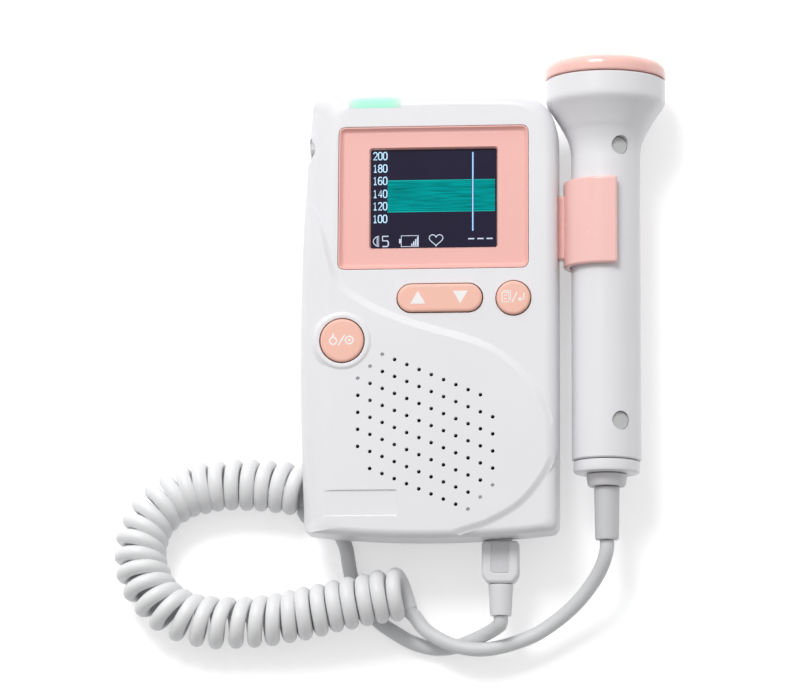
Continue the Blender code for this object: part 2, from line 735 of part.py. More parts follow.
def bezel_outline(grow, steps=4):
    """The screen panel's outline in plan, a little wider at its foot, grown by an amount."""
    corners = [
        (BEZEL_RIGHT + grow, BEZEL_FOOT - grow), (BEZEL_RIGHT + grow, BEZEL_TOP + grow),
        (BEZEL_LEFT_TOP - grow, BEZEL_TOP + grow), (BEZEL_LEFT_FOOT - grow, BEZEL_FOOT - grow),
    ]
    radius = max(BEZEL_CORNER + grow, BEZEL_CORNER / 4)
    outline = []
    for i, corner in enumerate(corners):
        here = Vector(corner)
        before = here + (Vector(corners[i - 1]) - here).normalized() * radius
        after = here + (Vector(corners[(i + 1) % 4]) - here).normalized() * radius
        for k in range(steps + 1):
            t = k / steps
            outline.append(tuple(before * (1 - t) ** 2 + here * 2 * t * (1 - t) + after * t ** 2))
    return outline


def flange_outline(grow):
    """The bezel's flange, which runs under the face on three sides of the panel."""
    side, foot = BEZEL_FLANGE + grow, BEZEL_FOOT - BEZEL_FLANGE - grow
    return [
        (BEZEL_RIGHT + side, foot), (BEZEL_RIGHT + side, BEZEL_TOP + grow),
        (BEZEL_LEFT_TOP - side, BEZEL_TOP + grow), (BEZEL_LEFT_FOOT - side, foot),
    ]


def at_level(outline, z):
    return [(x, y, z) for x, y in outline]


def rocker_outline(grow):
    width = ROCKER_WIDTH + 2 * grow
    return rounded_box((ROCKER_X, ROCKER_Y), ROCKER_LENGTH + 2 * grow, width, width / 2 * 0.999, 6)


def menu_outline(grow):
    return arc((MENU_X, MENU_Y), MENU_RADIUS + grow, 0, 350, 35)[::2]


def power_outline(grow):
    return arc((POWER_X, POWER_Y), POWER_RADIUS + grow, 0, 345, 23)


def grille_holes():
    """Centres of the speaker holes, and whether each goes through."""
    holes = []
    for column, (first, count) in enumerate(zip(SKIPPED_COUNT, HOLE_COUNT)):
        for row in range(first, first + count):
            x = GRILLE_X + COLUMN_PITCH * column
            y = GRILLE_Y - COLUMN_DROP * (column - 1) - ROW_PITCH * row
            blind = (column < 3 and row == first) or (column > 8 and row == first + count - 1)
            holes.append((x, y, not blind))
    return holes


def screw_places():
    return [(side * SCREW_X, y) for side in (-1, 1) for y in (SCREW_TOP_Y, SCREW_FOOT_Y)]


def usb_opening():
    half_w, half_h = USB_OPENING_WIDTH / 2, USB_OPENING_HEIGHT / 2
    low = (USB_X - half_w, foot_wall(USB_X - half_w) - OVERRUN, USB_Z - half_h)
    high = (USB_X + half_w, foot_wall(USB_X + half_w) + WALL + OVERRUN, USB_Z + half_h)
    return low, high


def neck_box(grow):
    """The part of the clip's neck that passes through the wall of the case."""
    right = CASE_WIDTH / 2
    foot = PROBE_Y + NECK_FOOT
    low = (right - WALL - OVERRUN, foot - grow, PROBE_Z - NECK_THICK / 2 - grow)
    high = (right + OVERRUN, foot + NECK_LENGTH + grow, PROBE_Z + NECK_THICK / 2 + grow)
    return low, high


def pipe_box(grow):
    """The block that the light pipe is cut from, at the top edge of the case."""
    half = PIPE_WIDTH / 2 + grow
    top = HALF_LENGTH + TOP_BULGE
    low = (PIPE_X - half, top - PIPE_LENGTH - WALL - grow, PIPE_FOOT_Z - grow)
    return low, (PIPE_X + half, top + OVERRUN, CASE_TOP + OVERRUN)


def bare_sides():
    return case_sides({"left": 0, "right": 0, "top": 0, "foot": 0})


def jack_x():
    return bare_sides()["left"](JACK_Y)


def foot_wall(x):
    return bare_sides()["foot"](x)


def build_front_shell():
    shell = case_form("front_shell", 0, SPLIT_Z, CASE_TOP, FRONT_ROUND)
    combine(shell, sweep_cutter())
    top, slope = CASE_TOP + COLLAR_HEIGHT, COLLAR_WIDTH / 2
    outer = POWER_RADIUS + KEY_GAP + COLLAR_WIDTH
    collar = turned("power_collar", [
        (0, top), (outer - slope, top),
        (outer - slope / 3, top - COLLAR_HEIGHT / 3), (outer, CASE_TOP - COLLAR_HEIGHT),
        (outer, CEILING_Z + GAP), (0, CEILING_Z + GAP),
    ], 24)
    collar.location = (POWER_X, POWER_Y, 0)
    combine(shell, guide(collar), "UNION")
    cavity = case_form("front_cavity", WALL, SPLIT_Z - OVERRUN, CEILING_Z, FRONT_ROUND)
    combine(shell, guide(cavity))
    bosses = rods("front_bosses", [
        ((x, y, SPLIT_Z + GAP), (x, y, CEILING_Z + GAP), BOSS_RADIUS) for x, y in screw_places()
    ], 12)
    combine(shell, guide(bosses), "UNION")
    pocket_low = FLANGE_TOP_Z - KEY_FLANGE_THICK - KEY_TRAVEL - WALL
    combine(shell, guide(plate("bezel_pocket", flange_outline(GAP), pocket_low, CEILING_Z)))
    combine(shell, guide(plate("power_pocket", power_outline(KEY_FLANGE + GAP), pocket_low, CEILING_Z)))
    low, high = CEILING_Z - OVERRUN, CASE_TOP + COLLAR_HEIGHT + OVERRUN
    keys = (rocker_outline, menu_outline, power_outline)
    for i, outline in enumerate([bezel_outline(GAP)] + [key(KEY_GAP) for key in keys]):
        combine(shell, guide(plate("face_opening_" + str(i), outline, low, high)))
    holes = boxes("front_slots", [pipe_box(GAP), neck_box(GAP), usb_opening()])
    combine(shell, guide(holes))
    side = jack_x()
    combine(shell, guide(rods("jack_recess", [
        ((side - OVERRUN, JACK_Y, JACK_Z), (side + JACK_RECESS_DEPTH, JACK_Y, JACK_Z), JACK_RECESS_RADIUS),
    ], 20)))
    combine(shell, guide(rods("jack_hole", [
        ((side, JACK_Y, JACK_Z), (side + JACK_LENGTH, JACK_Y, JACK_Z), JACK_RADIUS + GAP),
    ])))
    pilots = [
        ((x, y, SPLIT_Z - OVERRUN), (x, y, SPLIT_Z + SCREW_REACH - COUNTERBORE_DEPTH - WALL), PILOT_RADIUS)
        for x, y in screw_places()
    ]
    combine(shell, guide(rods("pilot_holes", pilots, 10)))
    floor = CASE_TOP - BLIND_DEPTH
    holes = [
        ((x, y, low if through_face else floor), (x, y, high), HOLE_RADIUS)
        for x, y, through_face in grille_holes()
    ]
    combine(shell, guide(rods("grille_holes", holes, HOLE_SIDES)))
    half_w, half_l, floor = PLATE_WIDTH / 2, PLATE_LENGTH / 2, CASE_TOP - PLATE_DEPTH
    recess = boxes("plate_recess", [
        ((PLATE_X - half_w, PLATE_Y - half_l, floor), (PLATE_X + half_w, PLATE_Y + half_l, high)),
    ])
    combine(shell, guide(recess))
    return place(shell, ROOT, WHITE)


def build_back_shell():
    rim = SPLIT_Z - GAP
    shell = case_form("back_shell", 0, rim, TRAY_Z, BACK_ROUND)
    centre = (0, (BOX_TOP + BOX_FOOT) / 2)
    outline = rounded_box(centre, 2 * BOX_HALF_WIDTH, BOX_TOP - BOX_FOOT, BOX_CORNER)
    box = plate("battery_box", outline, 0, TRAY_Z + WALL)
    round_edges(box, BOX_ROUND, 2, 60)
    combine(shell, guide(box), "UNION")
    cavity = case_form("back_cavity", WALL, rim + OVERRUN, TRAY_Z + WALL, BACK_ROUND)
    combine(shell, guide(cavity))
    columns = rods("back_columns", [
        ((x, y, TRAY_Z + WALL / 2), (x, y, rim - GAP), COLUMN_RADIUS) for x, y in screw_places()
    ], 16)
    combine(shell, guide(columns), "UNION")
    outer = BAY_HALF_WIDTH + BAY_WALL
    walls = boxes("bay_walls", [
        ((-outer, BAY_FOOT - BAY_WALL, TRAY_Z / 2), (outer, BAY_TOP + BAY_WALL, BOARD_Z - GAP)),
    ])
    combine(shell, guide(walls), "UNION")
    door_top = DOOR_INSET + DOOR_THICK + GAP
    bay = boxes("bay", [((-BAY_HALF_WIDTH, BAY_FOOT, door_top - GAP), (BAY_HALF_WIDTH, BAY_TOP, BOARD_Z))])
    combine(shell, guide(bay))
    half = DOOR_HALF_WIDTH + GAP
    combine(shell, guide(boxes("door_seat", [
        ((-half, BOX_FOOT - OVERRUN, -OVERRUN), (half, BAY_TOP + DOOR_LAP + GAP, door_top)),
    ])))
    lip_top = DOOR_INSET + DOOR_LIP + GAP
    combine(shell, guide(boxes("lip_seat", [
        ((-half, BOX_FOOT - OVERRUN, -OVERRUN), (half, BOX_FOOT + DOOR_THICK + GAP, lip_top)),
    ])))
    inner, far = BAY_HALF_WIDTH + 2 * BAY_WALL + DOOR_LAP, BOX_HALF_WIDTH - WALL
    start, stop, top = BOX_FOOT + WALL, BOX_TOP - BOX_CORNER, TRAY_Z + WALL + GAP
    pockets = [((side * inner, start, WALL), (side * far, stop, top)) for side in (-1, 1)]
    pockets = [tuple(zip(*(sorted(pair) for pair in zip(low, high)))) for low, high in pockets]
    combine(shell, guide(boxes("box_pockets", pockets)))
    head, shank = SCREW_HEAD_RADIUS + GAP, SCREW_RADIUS + GAP
    floor = TRAY_Z + COUNTERBORE_DEPTH
    combine(shell, guide(rods("counterbores", [
        ((x, y, TRAY_Z - OVERRUN), (x, y, floor), head) for x, y in screw_places()
    ], 14)))
    combine(shell, guide(rods("screw_holes", [
        ((x, y, floor - OVERRUN), (x, y, SPLIT_Z), shank) for x, y in screw_places()
    ], 10)))
    combine(shell, guide(boxes("back_slot", [usb_opening()])))
    return place(shell, ROOT, WHITE)


def build_case_screws():
    floor = TRAY_Z + COUNTERBORE_DEPTH - GAP
    tip = SPLIT_Z + SCREW_REACH - COUNTERBORE_DEPTH - WALL - OVERRUN
    for i, (x, y) in enumerate(screw_places(), 1):
        head = ((x, y, floor - SCREW_HEAD_HEIGHT), (x, y, floor), SCREW_HEAD_RADIUS)
        screw = rods(f"case_screw_{i}", [head], 12)
        shank = rods(f"case_screw_shank_{i}", [((x, y, floor - GAP), (x, y, tip), SCREW_RADIUS)], 8)
        place(combine(screw, guide(shank), "UNION"), ROOT, STEEL)


def build_light_pipe():
    pipe = boxes("light_pipe", [pipe_box(0)])
    form = case_form("pipe_form", GAP / 2, SPLIT_Z, FACE_Z, FRONT_ROUND)
    combine(pipe, guide(form), "INTERSECT")
    return place(pipe, ROOT, MINT)


def build_status_leds():
    y = TONGUE_TOP - LAMP_RADIUS - GAP
    for i, side in enumerate((-1, 1), 1):
        x = PIPE_X + side * LAMP_SPACING / 2
        lamp = ((x, y, BOARD_TOP_Z + GAP), (x, y, PIPE_FOOT_Z - GAP), LAMP_RADIUS)
        led = rods(f"status_led_{i}", [lamp], 12)
        place(round_edges(led, LAMP_RADIUS / 3, 1), ROOT, MINT)


# Screen

def build_screen_bezel():
    top = FACE_Z - GAP / 2
    body_low, flange_low = FLANGE_TOP_Z, FLANGE_TOP_Z - BEZEL_FLANGE_THICK
    bezel = plate("screen_bezel", flange_outline(0), flange_low, body_low)
    body = plate("bezel_body", bezel_outline(0), flange_low + GAP, top)
    combine(bezel, guide(body), "UNION")
    recess = loft("bezel_recess", [
        at_level(bezel_outline(-BEZEL_RIM - BEZEL_SLOPE), FACE_Z - BEZEL_DEPTH),
        at_level(bezel_outline(-BEZEL_RIM), top),
        at_level(bezel_outline(-BEZEL_RIM), top + OVERRUN),
    ])
    combine(bezel, guide(recess))
    hole = rounded_box((LCD_X, LCD_Y), LCD_WIDTH, LCD_LENGTH, LCD_CORNER, 3)
    combine(bezel, guide(plate("bezel_hole", hole, flange_low - OVERRUN, top)))
    return place(bezel, ROOT, PINK)


def build_lcd_window():
    outline = rounded_box((LCD_X, LCD_Y), LCD_WIDTH - 2 * GAP, LCD_LENGTH - 2 * GAP, LCD_CORNER, 3)
    low = FLANGE_TOP_Z - BEZEL_FLANGE_THICK
    return place(plate("lcd_window", outline, low, low + WINDOW_THICK), ROOT, DARK)


def build_lcd_module():
    border = 2 * MODULE_BORDER
    outline = rounded_box((LCD_X, LCD_Y), LCD_WIDTH + border, LCD_LENGTH + border, MODULE_CORNER, 2)
    top = FLANGE_TOP_Z - BEZEL_FLANGE_THICK - GAP
    return place(plate("lcd_module", outline, BOARD_TOP_Z + GAP, top), ROOT, BLACK)


# Keys and the switches under them

def build_key(name, outline, flange, centre, top, stems):
    """A cap with a flange that holds it under the face, and stems that reach for the switches."""
    low, high = FLANGE_TOP_Z - KEY_FLANGE_THICK, FLANGE_TOP_Z
    crown = top + KEY_PROUD
    key = loft(name, [
        at_level(outline(0), low - KEY_ROUND), at_level(outline(0), crown - KEY_ROUND),
        at_level(outline(-KEY_ROUND / 3), crown - KEY_ROUND / 3), at_level(outline(-KEY_ROUND), crown),
    ])
    combine(key, guide(plate(name + "_flange", flange, low, high)), "UNION")
    feet = rods(name + "_stems", [((x, y, stem_foot()), (x, y, low), STEM_RADIUS) for x, y in stems], 10)
    combine(key, guide(feet), "UNION")
    return hang(key, pivot(name + "_axis", (*centre, low)), KEY_PINK)


def rocker_hold():
    """The rocker's flange is short, so that its ends are free to rise."""
    x, y = ROCKER_HOLD / 2, ROCKER_WIDTH / 2 + KEY_FLANGE
    return [
        (ROCKER_X + x, ROCKER_Y - y), (ROCKER_X + x, ROCKER_Y + y),
        (ROCKER_X - x, ROCKER_Y + y), (ROCKER_X - x, ROCKER_Y - y),
    ]


def stem_foot():
    return tact_top() + KEY_TRAVEL + GAP / 3


def tact_top():
    return BOARD_TOP_Z + GAP + TACT_BODY + TACT_PLUNGER


def switch_places():
    return [
        (ROCKER_X - ROCKER_STEM_X, ROCKER_Y), (ROCKER_X + ROCKER_STEM_X, ROCKER_Y),
        (MENU_X, MENU_Y), (POWER_X, POWER_Y),
    ]


def build_tact_switches():
    half, low = TACT_SIZE / 2, BOARD_TOP_Z + GAP
    shoulder = low + TACT_BODY
    for i, (x, y) in enumerate(switch_places(), 1):
        body = boxes(f"tact_switch_{i}", [((x - half, y - half, low), (x + half, y + half, shoulder))])
        plunger = rods(f"tact_plunger_{i}", [((x, y, shoulder - GAP), (x, y, tact_top()), STEM_RADIUS)], 10)
        place(combine(body, guide(plunger), "UNION"), ROOT, BLACK)


# Boards, sockets and speaker

def build_main_board():
    usb, pipe = USB_WIDTH / 2 + OVERRUN, PIPE_WIDTH / 2
    outline = [
        (-BOARD_HALF_WIDTH, BOARD_FOOT), (USB_X - usb, BOARD_FOOT), (USB_X - usb, TONGUE_FOOT),
        (USB_X + usb, TONGUE_FOOT), (USB_X + usb, BOARD_FOOT), (BOARD_HALF_WIDTH, BOARD_FOOT),
        (BOARD_HALF_WIDTH, BOARD_TOP), (PIPE_X + pipe, BOARD_TOP), (PIPE_X + pipe, TONGUE_TOP),
        (PIPE_X - pipe, TONGUE_TOP), (PIPE_X - pipe, BOARD_TOP), (-BOARD_HALF_WIDTH, BOARD_TOP),
    ]
    return place(plate("main_board", outline, BOARD_Z, BOARD_TOP_Z), ROOT, BOARD_GREEN)


def build_usb_socket():
    half_w, half_h = USB_WIDTH / 2, USB_HEIGHT / 2
    front = foot_wall(USB_X + half_w) + WALL + GAP
    back = front + USB_DEPTH
    socket = boxes("usb_socket", [
        ((USB_X - half_w, front, USB_Z - half_h), (USB_X + half_w, back, USB_Z + half_h)),
    ])
    combine(socket, guide(boxes("usb_bore", [
        ((USB_X - half_w + USB_SHEET, front - OVERRUN, USB_Z - half_h + USB_SHEET),
         (USB_X + half_w - USB_SHEET, back - USB_SHEET, USB_Z + half_h - USB_SHEET)),
    ])))
    return place(socket, ROOT, STEEL)


def build_earphone_jack():
    start, x = jack_x() + JACK_RECESS_DEPTH, jack_x() + JACK_LENGTH
    jack = rods("earphone_jack", [((start, JACK_Y, JACK_Z), (x, JACK_Y, JACK_Z), JACK_RADIUS)])
    bore = rods("jack_bore", [
        ((start - OVERRUN, JACK_Y, JACK_Z), (x - WALL, JACK_Y, JACK_Z), JACK_BORE),
    ], 12)
    return place(combine(jack, guide(bore)), ROOT, BLACK)


def build_speaker():
    rim, seat = SPEAKER_RADIUS, SPEAKER_SEAT_RADIUS
    inner, top, low = rim - SPEAKER_RIM, FLANGE_TOP_Z, FLANGE_TOP_Z - SPEAKER_DEPTH
    frame = turned("speaker_frame", [
        (rim, top), (rim, top - SHEET), (inner, top - 2 * SHEET), (seat, low - SHEET),
        (seat / 2, low - SHEET), (seat / 2, low), (seat, low), (inner, top - SHEET), (inner, top),
    ], 32, closed=True)
    cone_rim, cone_seat = inner - SHEET, seat / 2
    cone = turned("speaker_cone", [
        (0, low + 3 * SHEET), (cone_seat, low + 2 * SHEET), (cone_rim, top - SHEET / 4),
        (cone_rim, top - SHEET * 0.75), (cone_seat, low + SHEET), (0, low + SHEET),
    ], 28)
    core = ((0, 0, BOARD_TOP_Z + GAP), (0, 0, low - SHEET - GAP), MAGNET_RADIUS)
    magnet = rods("speaker_magnet", [core], 28)
    for obj, look in ((frame, BLACK), (cone, GREY), (magnet, STEEL)):
        place(obj, ROOT, look).location = (SPEAKER_X, SPEAKER_Y, 0)


# Battery bay

def build_battery(name, side):
    """One cell, its spring at the end where the spring's plate is, and its button at the other."""
    x, z, inward = side * CELL_X, BATTERY_Z, -side
    middle, half = (BAY_TOP + BAY_FOOT) / 2, (BAY_TOP - BAY_FOOT) / 2
    seat = middle + side * (half - CONTACT_THICK - 2 * GAP)
    far = middle - side * (half - CONTACT_THICK - 2 * GAP)
    shoulder, start = far + side * CELL_NIPPLE, far + side * CELL_LENGTH
    cell = rods("battery_" + name, [((x, start, z), (x, shoulder, z), CELL_RADIUS)], 20)
    button = ((x, shoulder + side * CELL_NIPPLE, z), (x, far, z), CELL_NIPPLE_RADIUS)
    nipple = rods("battery_nipple_" + name, [button], 10)
    place(combine(cell, guide(nipple), "UNION"), ROOT, BLACK)

    first, last = seat + inward * SPRING_WIRE / 2, start - inward * (SPRING_WIRE / 2 + GAP)
    count = POINTS_PER_CURL * SPRING_TURNS
    points = []
    for k in range(count + 1):
        turn, share = 2 * math.pi * SPRING_TURNS * k / count, k / count
        points.append((
            x + SPRING_RADIUS * math.cos(turn), first + (last - first) * share,
            z + SPRING_RADIUS * math.sin(turn),
        ))
    place(tube("battery_spring_" + name, points, SPRING_WIRE, 1), ROOT, STEEL)


def build_battery_contacts():
    half, low, high = CONTACT_WIDTH / 2, BATTERY_Z - CONTACT_HEIGHT / 2, BATTERY_Z + CONTACT_HEIGHT / 2
    foot, top = BAY_FOOT + GAP, BAY_TOP - GAP
    for name, left, right, y in (
        ("left", -CELL_X - half, -CELL_X + half, foot), ("right", CELL_X - half, CELL_X + half, foot),
        ("bridge", -CELL_X - half, CELL_X + half, top - CONTACT_THICK),
    ):
        sheet = boxes("battery_contact_" + name, [((left, y, low), (right, y + CONTACT_THICK, high))])
        place(sheet, ROOT, STEEL)


def build_battery_door():
    low, high = DOOR_INSET, DOOR_INSET + DOOR_THICK
    length = BAY_TOP + DOOR_LAP - BOX_FOOT
    centre = (0, BOX_FOOT + length / 2)
    outline = rounded_box(centre, 2 * DOOR_HALF_WIDTH, length, DOOR_THICK / 2, 2)
    door = plate("battery_door", outline, low, high)
    lip = boxes("door_lip", [
        ((-DOOR_HALF_WIDTH, BOX_FOOT, high - GAP), (DOOR_HALF_WIDTH, BOX_FOOT + DOOR_THICK, low + DOOR_LIP)),
    ])
    combine(door, guide(lip), "UNION")
    half = GRIP_LENGTH / 2
    first = BOX_FOOT + 4 * GRIP_PITCH
    starts = [first + GRIP_PITCH * i for i in range(GRIP_COUNT)]
    ribs = [((-half, y, low - GRIP_HEIGHT), (half, y + GRIP_WIDTH, low + GAP)) for y in starts]
    combine(door, guide(boxes("grip_ribs", ribs)), "UNION")
    return hang(door, pivot("door_slide", (0, BOX_FOOT, low)), WHITE)


# Side clip

def build_probe_clip():
    outer, inner = CLIP_RADIUS + CLIP_WALL, CLIP_RADIUS
    outline = [
        *arc((PROBE_X, PROBE_Z), outer, 90, 270, CLIP_ARC_STEPS),
        (PROBE_X + CLIP_REACH, PROBE_Z - outer), (PROBE_X + CLIP_REACH, PROBE_Z - inner),
        *arc((PROBE_X, PROBE_Z), inner, 270, 90, CLIP_ARC_STEPS),
        (PROBE_X + CLIP_REACH, PROBE_Z + inner), (PROBE_X + CLIP_REACH, PROBE_Z + outer),
    ]
    foot = PROBE_Y + CLIP_FOOT
    clip = plate("probe_clip", outline, -foot - CLIP_LENGTH, -foot)
    clip.data.transform(Matrix.Rotation(math.pi / 2, 4, "X"))
    round_edges(clip, CLIP_ROUND, 2)
    low, high = neck_box(0)
    neck = boxes("clip_neck", [(low, (PROBE_X - inner - CLIP_WALL / 2, high[1], high[2]))])
    round_edges(neck, CLIP_ROUND, 1)
    combine(clip, guide(neck), "UNION")
    right = CASE_WIDTH / 2 - WALL - GAP
    pad = boxes("clip_pad", [
        ((right - FOOT_THICK, low[1] - FOOT_BORDER, low[2] - FOOT_BORDER),
         (right, high[1] + FOOT_BORDER, high[2] + FOOT_BORDER)),
    ])
    combine(clip, guide(pad), "UNION")
    return place(clip, ROOT, PINK)


# Probe, along the probe axis

def probe_shell_profile():
    """Outer side from the head to the end of the handle, then the inner side back."""
    reach = HEAD_FOOT - NECK_Y
    outer = [(HEAD_RADIUS, HEAD_TOP), (HEAD_RADIUS, HEAD_FOOT + CAP_SPIGOT / 2)]
    outer += [
        (HANDLE_RADIUS + (HEAD_RADIUS - HANDLE_RADIUS) * r, NECK_Y + reach * y) for r, y in FLARE_SHARES
    ]
    outer += [(HANDLE_RADIUS, NECK_Y), (HANDLE_RADIUS, HANDLE_END)]
    inner = [(radius - PROBE_WALL, y - PROBE_WALL / 2) for radius, y in outer]
    inner[0], inner[-1] = ((radius - PROBE_WALL, y) for radius, y in (outer[0], outer[-1]))
    return outer + inner[::-1]


def build_probe_half(name, front):
    """One half of the probe's housing; its front half has the screw pockets."""
    side = -1 if front else 1
    half = turned(name, probe_shell_profile(), PROBE_STEPS, closed=True)
    wide, edge = HEAD_RADIUS + OVERRUN, side * GAP / 2
    near, far = sorted((edge, -side * wide))
    other = boxes(name + "_other_side", [
        ((-wide, near, HANDLE_END - OVERRUN), (wide, far, HEAD_TOP + OVERRUN)),
    ])
    combine(half, guide(other, PROBE_AXIS))
    root = HANDLE_RADIUS - PROBE_WALL / 2
    pillars = rods(name + "_pillars", [
        ((0, side * root, y), (0, edge, y), PILLAR_RADIUS) for y in PROBE_SCREW_PLACES
    ], 12)
    combine(half, guide(pillars, PROBE_AXIS), "UNION")
    if front:
        floor, wide = HANDLE_RADIUS - POCKET_DEPTH, POCKET_RADIUS - GAP / 3
        pockets = [((0, -floor, y), (0, -HEAD_RADIUS, y), wide) for y in PROBE_SCREW_PLACES]
        combine(half, guide(rods("screw_pockets", pockets, 20), PROBE_AXIS))
    end = -HANDLE_RADIUS if front else root - OVERRUN
    holes = [((0, edge - side * OVERRUN, y), (0, end, y), SCREW_RADIUS + GAP) for y in PROBE_SCREW_PLACES]
    combine(half, guide(rods(name + "_holes", holes, 10), PROBE_AXIS))
    return place(half, PROBE_AXIS, WHITE)


def build_probe_screws():
    top = HANDLE_RADIUS - POCKET_DEPTH + GAP
    head = top + PROBE_HEAD_HEIGHT
    tip = HANDLE_RADIUS - PROBE_WALL - 2 * OVERRUN
    outer = HANDLE_RADIUS - COVER_INSET
    for i, y in enumerate(PROBE_SCREW_PLACES, 1):
        screw = rods(f"probe_screw_{i}", [((0, -head, y), (0, -top, y), PROBE_HEAD_RADIUS)], 12)
        shank = rods(f"probe_screw_shank_{i}", [((0, -top - GAP, y), (0, tip, y), SCREW_RADIUS)], 8)
        place(combine(screw, guide(shank, PROBE_AXIS), "UNION"), PROBE_AXIS, STEEL)
        disc = ((0, -outer, y), (0, COVER_THICK - outer, y), POCKET_RADIUS - GAP)
        cover = rods(f"probe_screw_cover_{i}", [disc], 20)
        place(cover, PROBE_AXIS, GREY)


def build_probe_head():
    base, spigot = HEAD_TOP + GAP, HEAD_RADIUS - PROBE_WALL - GAP
    ceiling = CAP_TOP - CAP_HEIGHT / 2
    dome = [(CAP_RADIUS * r, base + CAP_HEIGHT * h) for r, h in reversed(CAP_SHARES)]
    cap = turned("probe_face", [
        (0, CAP_TOP), *dome, (CAP_RADIUS, base),
        (spigot, base), (spigot, HEAD_TOP - CAP_SPIGOT), (spigot - PROBE_WALL, HEAD_TOP - CAP_SPIGOT),
        (spigot - PROBE_WALL, ceiling), (0, ceiling),
    ], 36)
    place(cap, PROBE_AXIS, PINK)
    crystal_top = ceiling - GAP
    crystal_low = crystal_top - CRYSTAL_THICK
    for name, side in (("left", -1), ("right", 1)):
        crystal = rods("crystal_" + name, [((0, 0, crystal_low), (0, 0, crystal_top), CRYSTAL_RADIUS)], 28)
        near, far = sorted((side * CRYSTAL_SPLIT / 2, -side * HEAD_RADIUS))
        other = boxes("crystal_cut_" + name, [
            ((near, -HEAD_RADIUS, crystal_low - GAP), (far, HEAD_RADIUS, crystal_top + GAP)),
        ])
        place(combine(crystal, guide(other, PROBE_AXIS)), PROBE_AXIS, CERAMIC)
    high = crystal_low - GAP
    block = ((0, 0, high - BACKING_THICK), (0, 0, high), spigot - PROBE_WALL - GAP)
    backing = rods("transducer_backing", [block], 28)
    place(backing, PROBE_AXIS, BLACK)


def build_probe_board():
    half = HANDLE_RADIUS - PROBE_WALL - GAP
    board = boxes("probe_board", [
        ((-half, -PROBE_BOARD_THICK / 2, PROBE_BOARD_FOOT), (half, PROBE_BOARD_THICK / 2, PROBE_BOARD_TOP)),
    ])
    return place(board, PROBE_AXIS, BOARD_GREEN)


def build_probe_end():
    spigot, bore = HANDLE_RADIUS - PROBE_WALL - GAP, GLAND_RADIUS / 2
    y, end = COLLAR_Y, COLLAR_Y - COLLAR_LENGTH
    high = HANDLE_END + 2 * PROBE_WALL
    collar = turned("probe_end_collar", [
        (spigot, high), (spigot, y), (COLLAR_RADIUS, y), (COLLAR_RADIUS, end + GAP),
        (COLLAR_RADIUS - GAP, end), (bore, end), (bore, high),
    ], PROBE_STEPS, closed=True)
    place(collar, PROBE_AXIS, WHITE)
    gland = turned("cord_gland", [
        (0, high), (bore - GAP, high), (bore - GAP, GLAND_Y), (GLAND_RADIUS, GLAND_Y),
        (GLAND_END_RADIUS, GLAND_Y - GLAND_LENGTH), (0, GLAND_Y - GLAND_LENGTH),
    ], 24)
    place(gland, PROBE_AXIS, GREY)
    sleeve = turned("strain_relief", [
        (0, SLEEVE_Y), (SLEEVE_RADIUS, SLEEVE_Y), (SLEEVE_END_RADIUS, SLEEVE_END), (0, SLEEVE_END),
    ], 20)
    place(sleeve, PROBE_AXIS, CORD_WHITE)


# Lead

def coil_points():
    """The cord's centre line through the curly stretch, with a straight cord diameter at each end."""
    line = smooth_route(COIL_ROUTE, CORD_DIAMETER / 16, beside)
    step = (line[1] - line[0]).length
    heading = []
    for a, b in zip(line, line[1:]):
        angle = math.atan2(b.y - a.y, b.x - a.x)
        while heading and angle > heading[-1] + math.pi:
            angle -= 2 * math.pi
        while heading and angle < heading[-1] - math.pi:
            angle += 2 * math.pi
        heading.append(angle)
    heading.append(heading[-1])
    span = round(COIL_RADIUS / step)
    turns = [0]
    for i in range(1, len(line)):
        low, high = max(0, i - span), min(len(line) - 1, i + span)
        bend = max(0, (heading[low] - heading[high]) / ((high - low) * step))
        last = (len(line) - i) * step < COIL_LAST_PITCH
        pitch = COIL_LAST_PITCH if last else COIL_PITCH / (1 - COIL_RADIUS * bend)
        turns.append(turns[-1] + step / pitch)
    whole = math.floor(turns[-1])
    turns = [turn * whole / turns[-1] for turn in turns]
    points, i = [], 0
    for k in range(whole * POINTS_PER_CURL + 1):
        turn = min(k / POINTS_PER_CURL, turns[-1])
        while i < len(turns) - 2 and turns[i + 1] < turn:
            i += 1
        share = (turn - turns[i]) / (turns[i + 1] - turns[i])
        angle = 2 * math.pi * turn - math.pi / 2
        along = heading[i] + (heading[i + 1] - heading[i]) * share
        inwards = Vector((math.sin(along), -math.cos(along), 0)) * math.cos(angle)
        around = inwards + Vector((0, 0, math.sin(angle)))
        points.append(line[i].lerp(line[i + 1], share) + COIL_RADIUS * around)
    first, last = points[0] - points[1], points[-1] - points[-2]
    first.z, last.z = 0, 0
    start = points[0] + first.normalized() * CORD_DIAMETER
    end = points[-1] + last.normalized() * CORD_DIAMETER
    return [start, *points, end], whole


def segment_distance(a, b, c, d):
    """The least distance between the straight runs a to b and c to d."""
    u, v, w = b - a, d - c, a - c
    uu, uv, vv, uw, vw = u.dot(u), u.dot(v), v.dot(v), u.dot(w), v.dot(w)
    spread = uu * vv - uv * uv
    s = min(1, max(0, (uv * vw - vv * uw) / spread)) if spread > 0 else 0
    t = min(1, max(0, (uv * s + vw) / vv))
    s = min(1, max(0, (uv * t - uw) / uu))
    return (w + u * s - v * t).length


def least_gap(points):
    """The least gap from one curl's cord to another's."""
    least = math.inf
    far = POINTS_PER_CURL // 2
    for i in range(len(points) - 1):
        for j in range(i + far, min(len(points) - 1, i + 3 * POINTS_PER_CURL)):
            least = min(least, segment_distance(points[i], points[i + 1], points[j], points[j + 1]))
    return least - CORD_DIAMETER


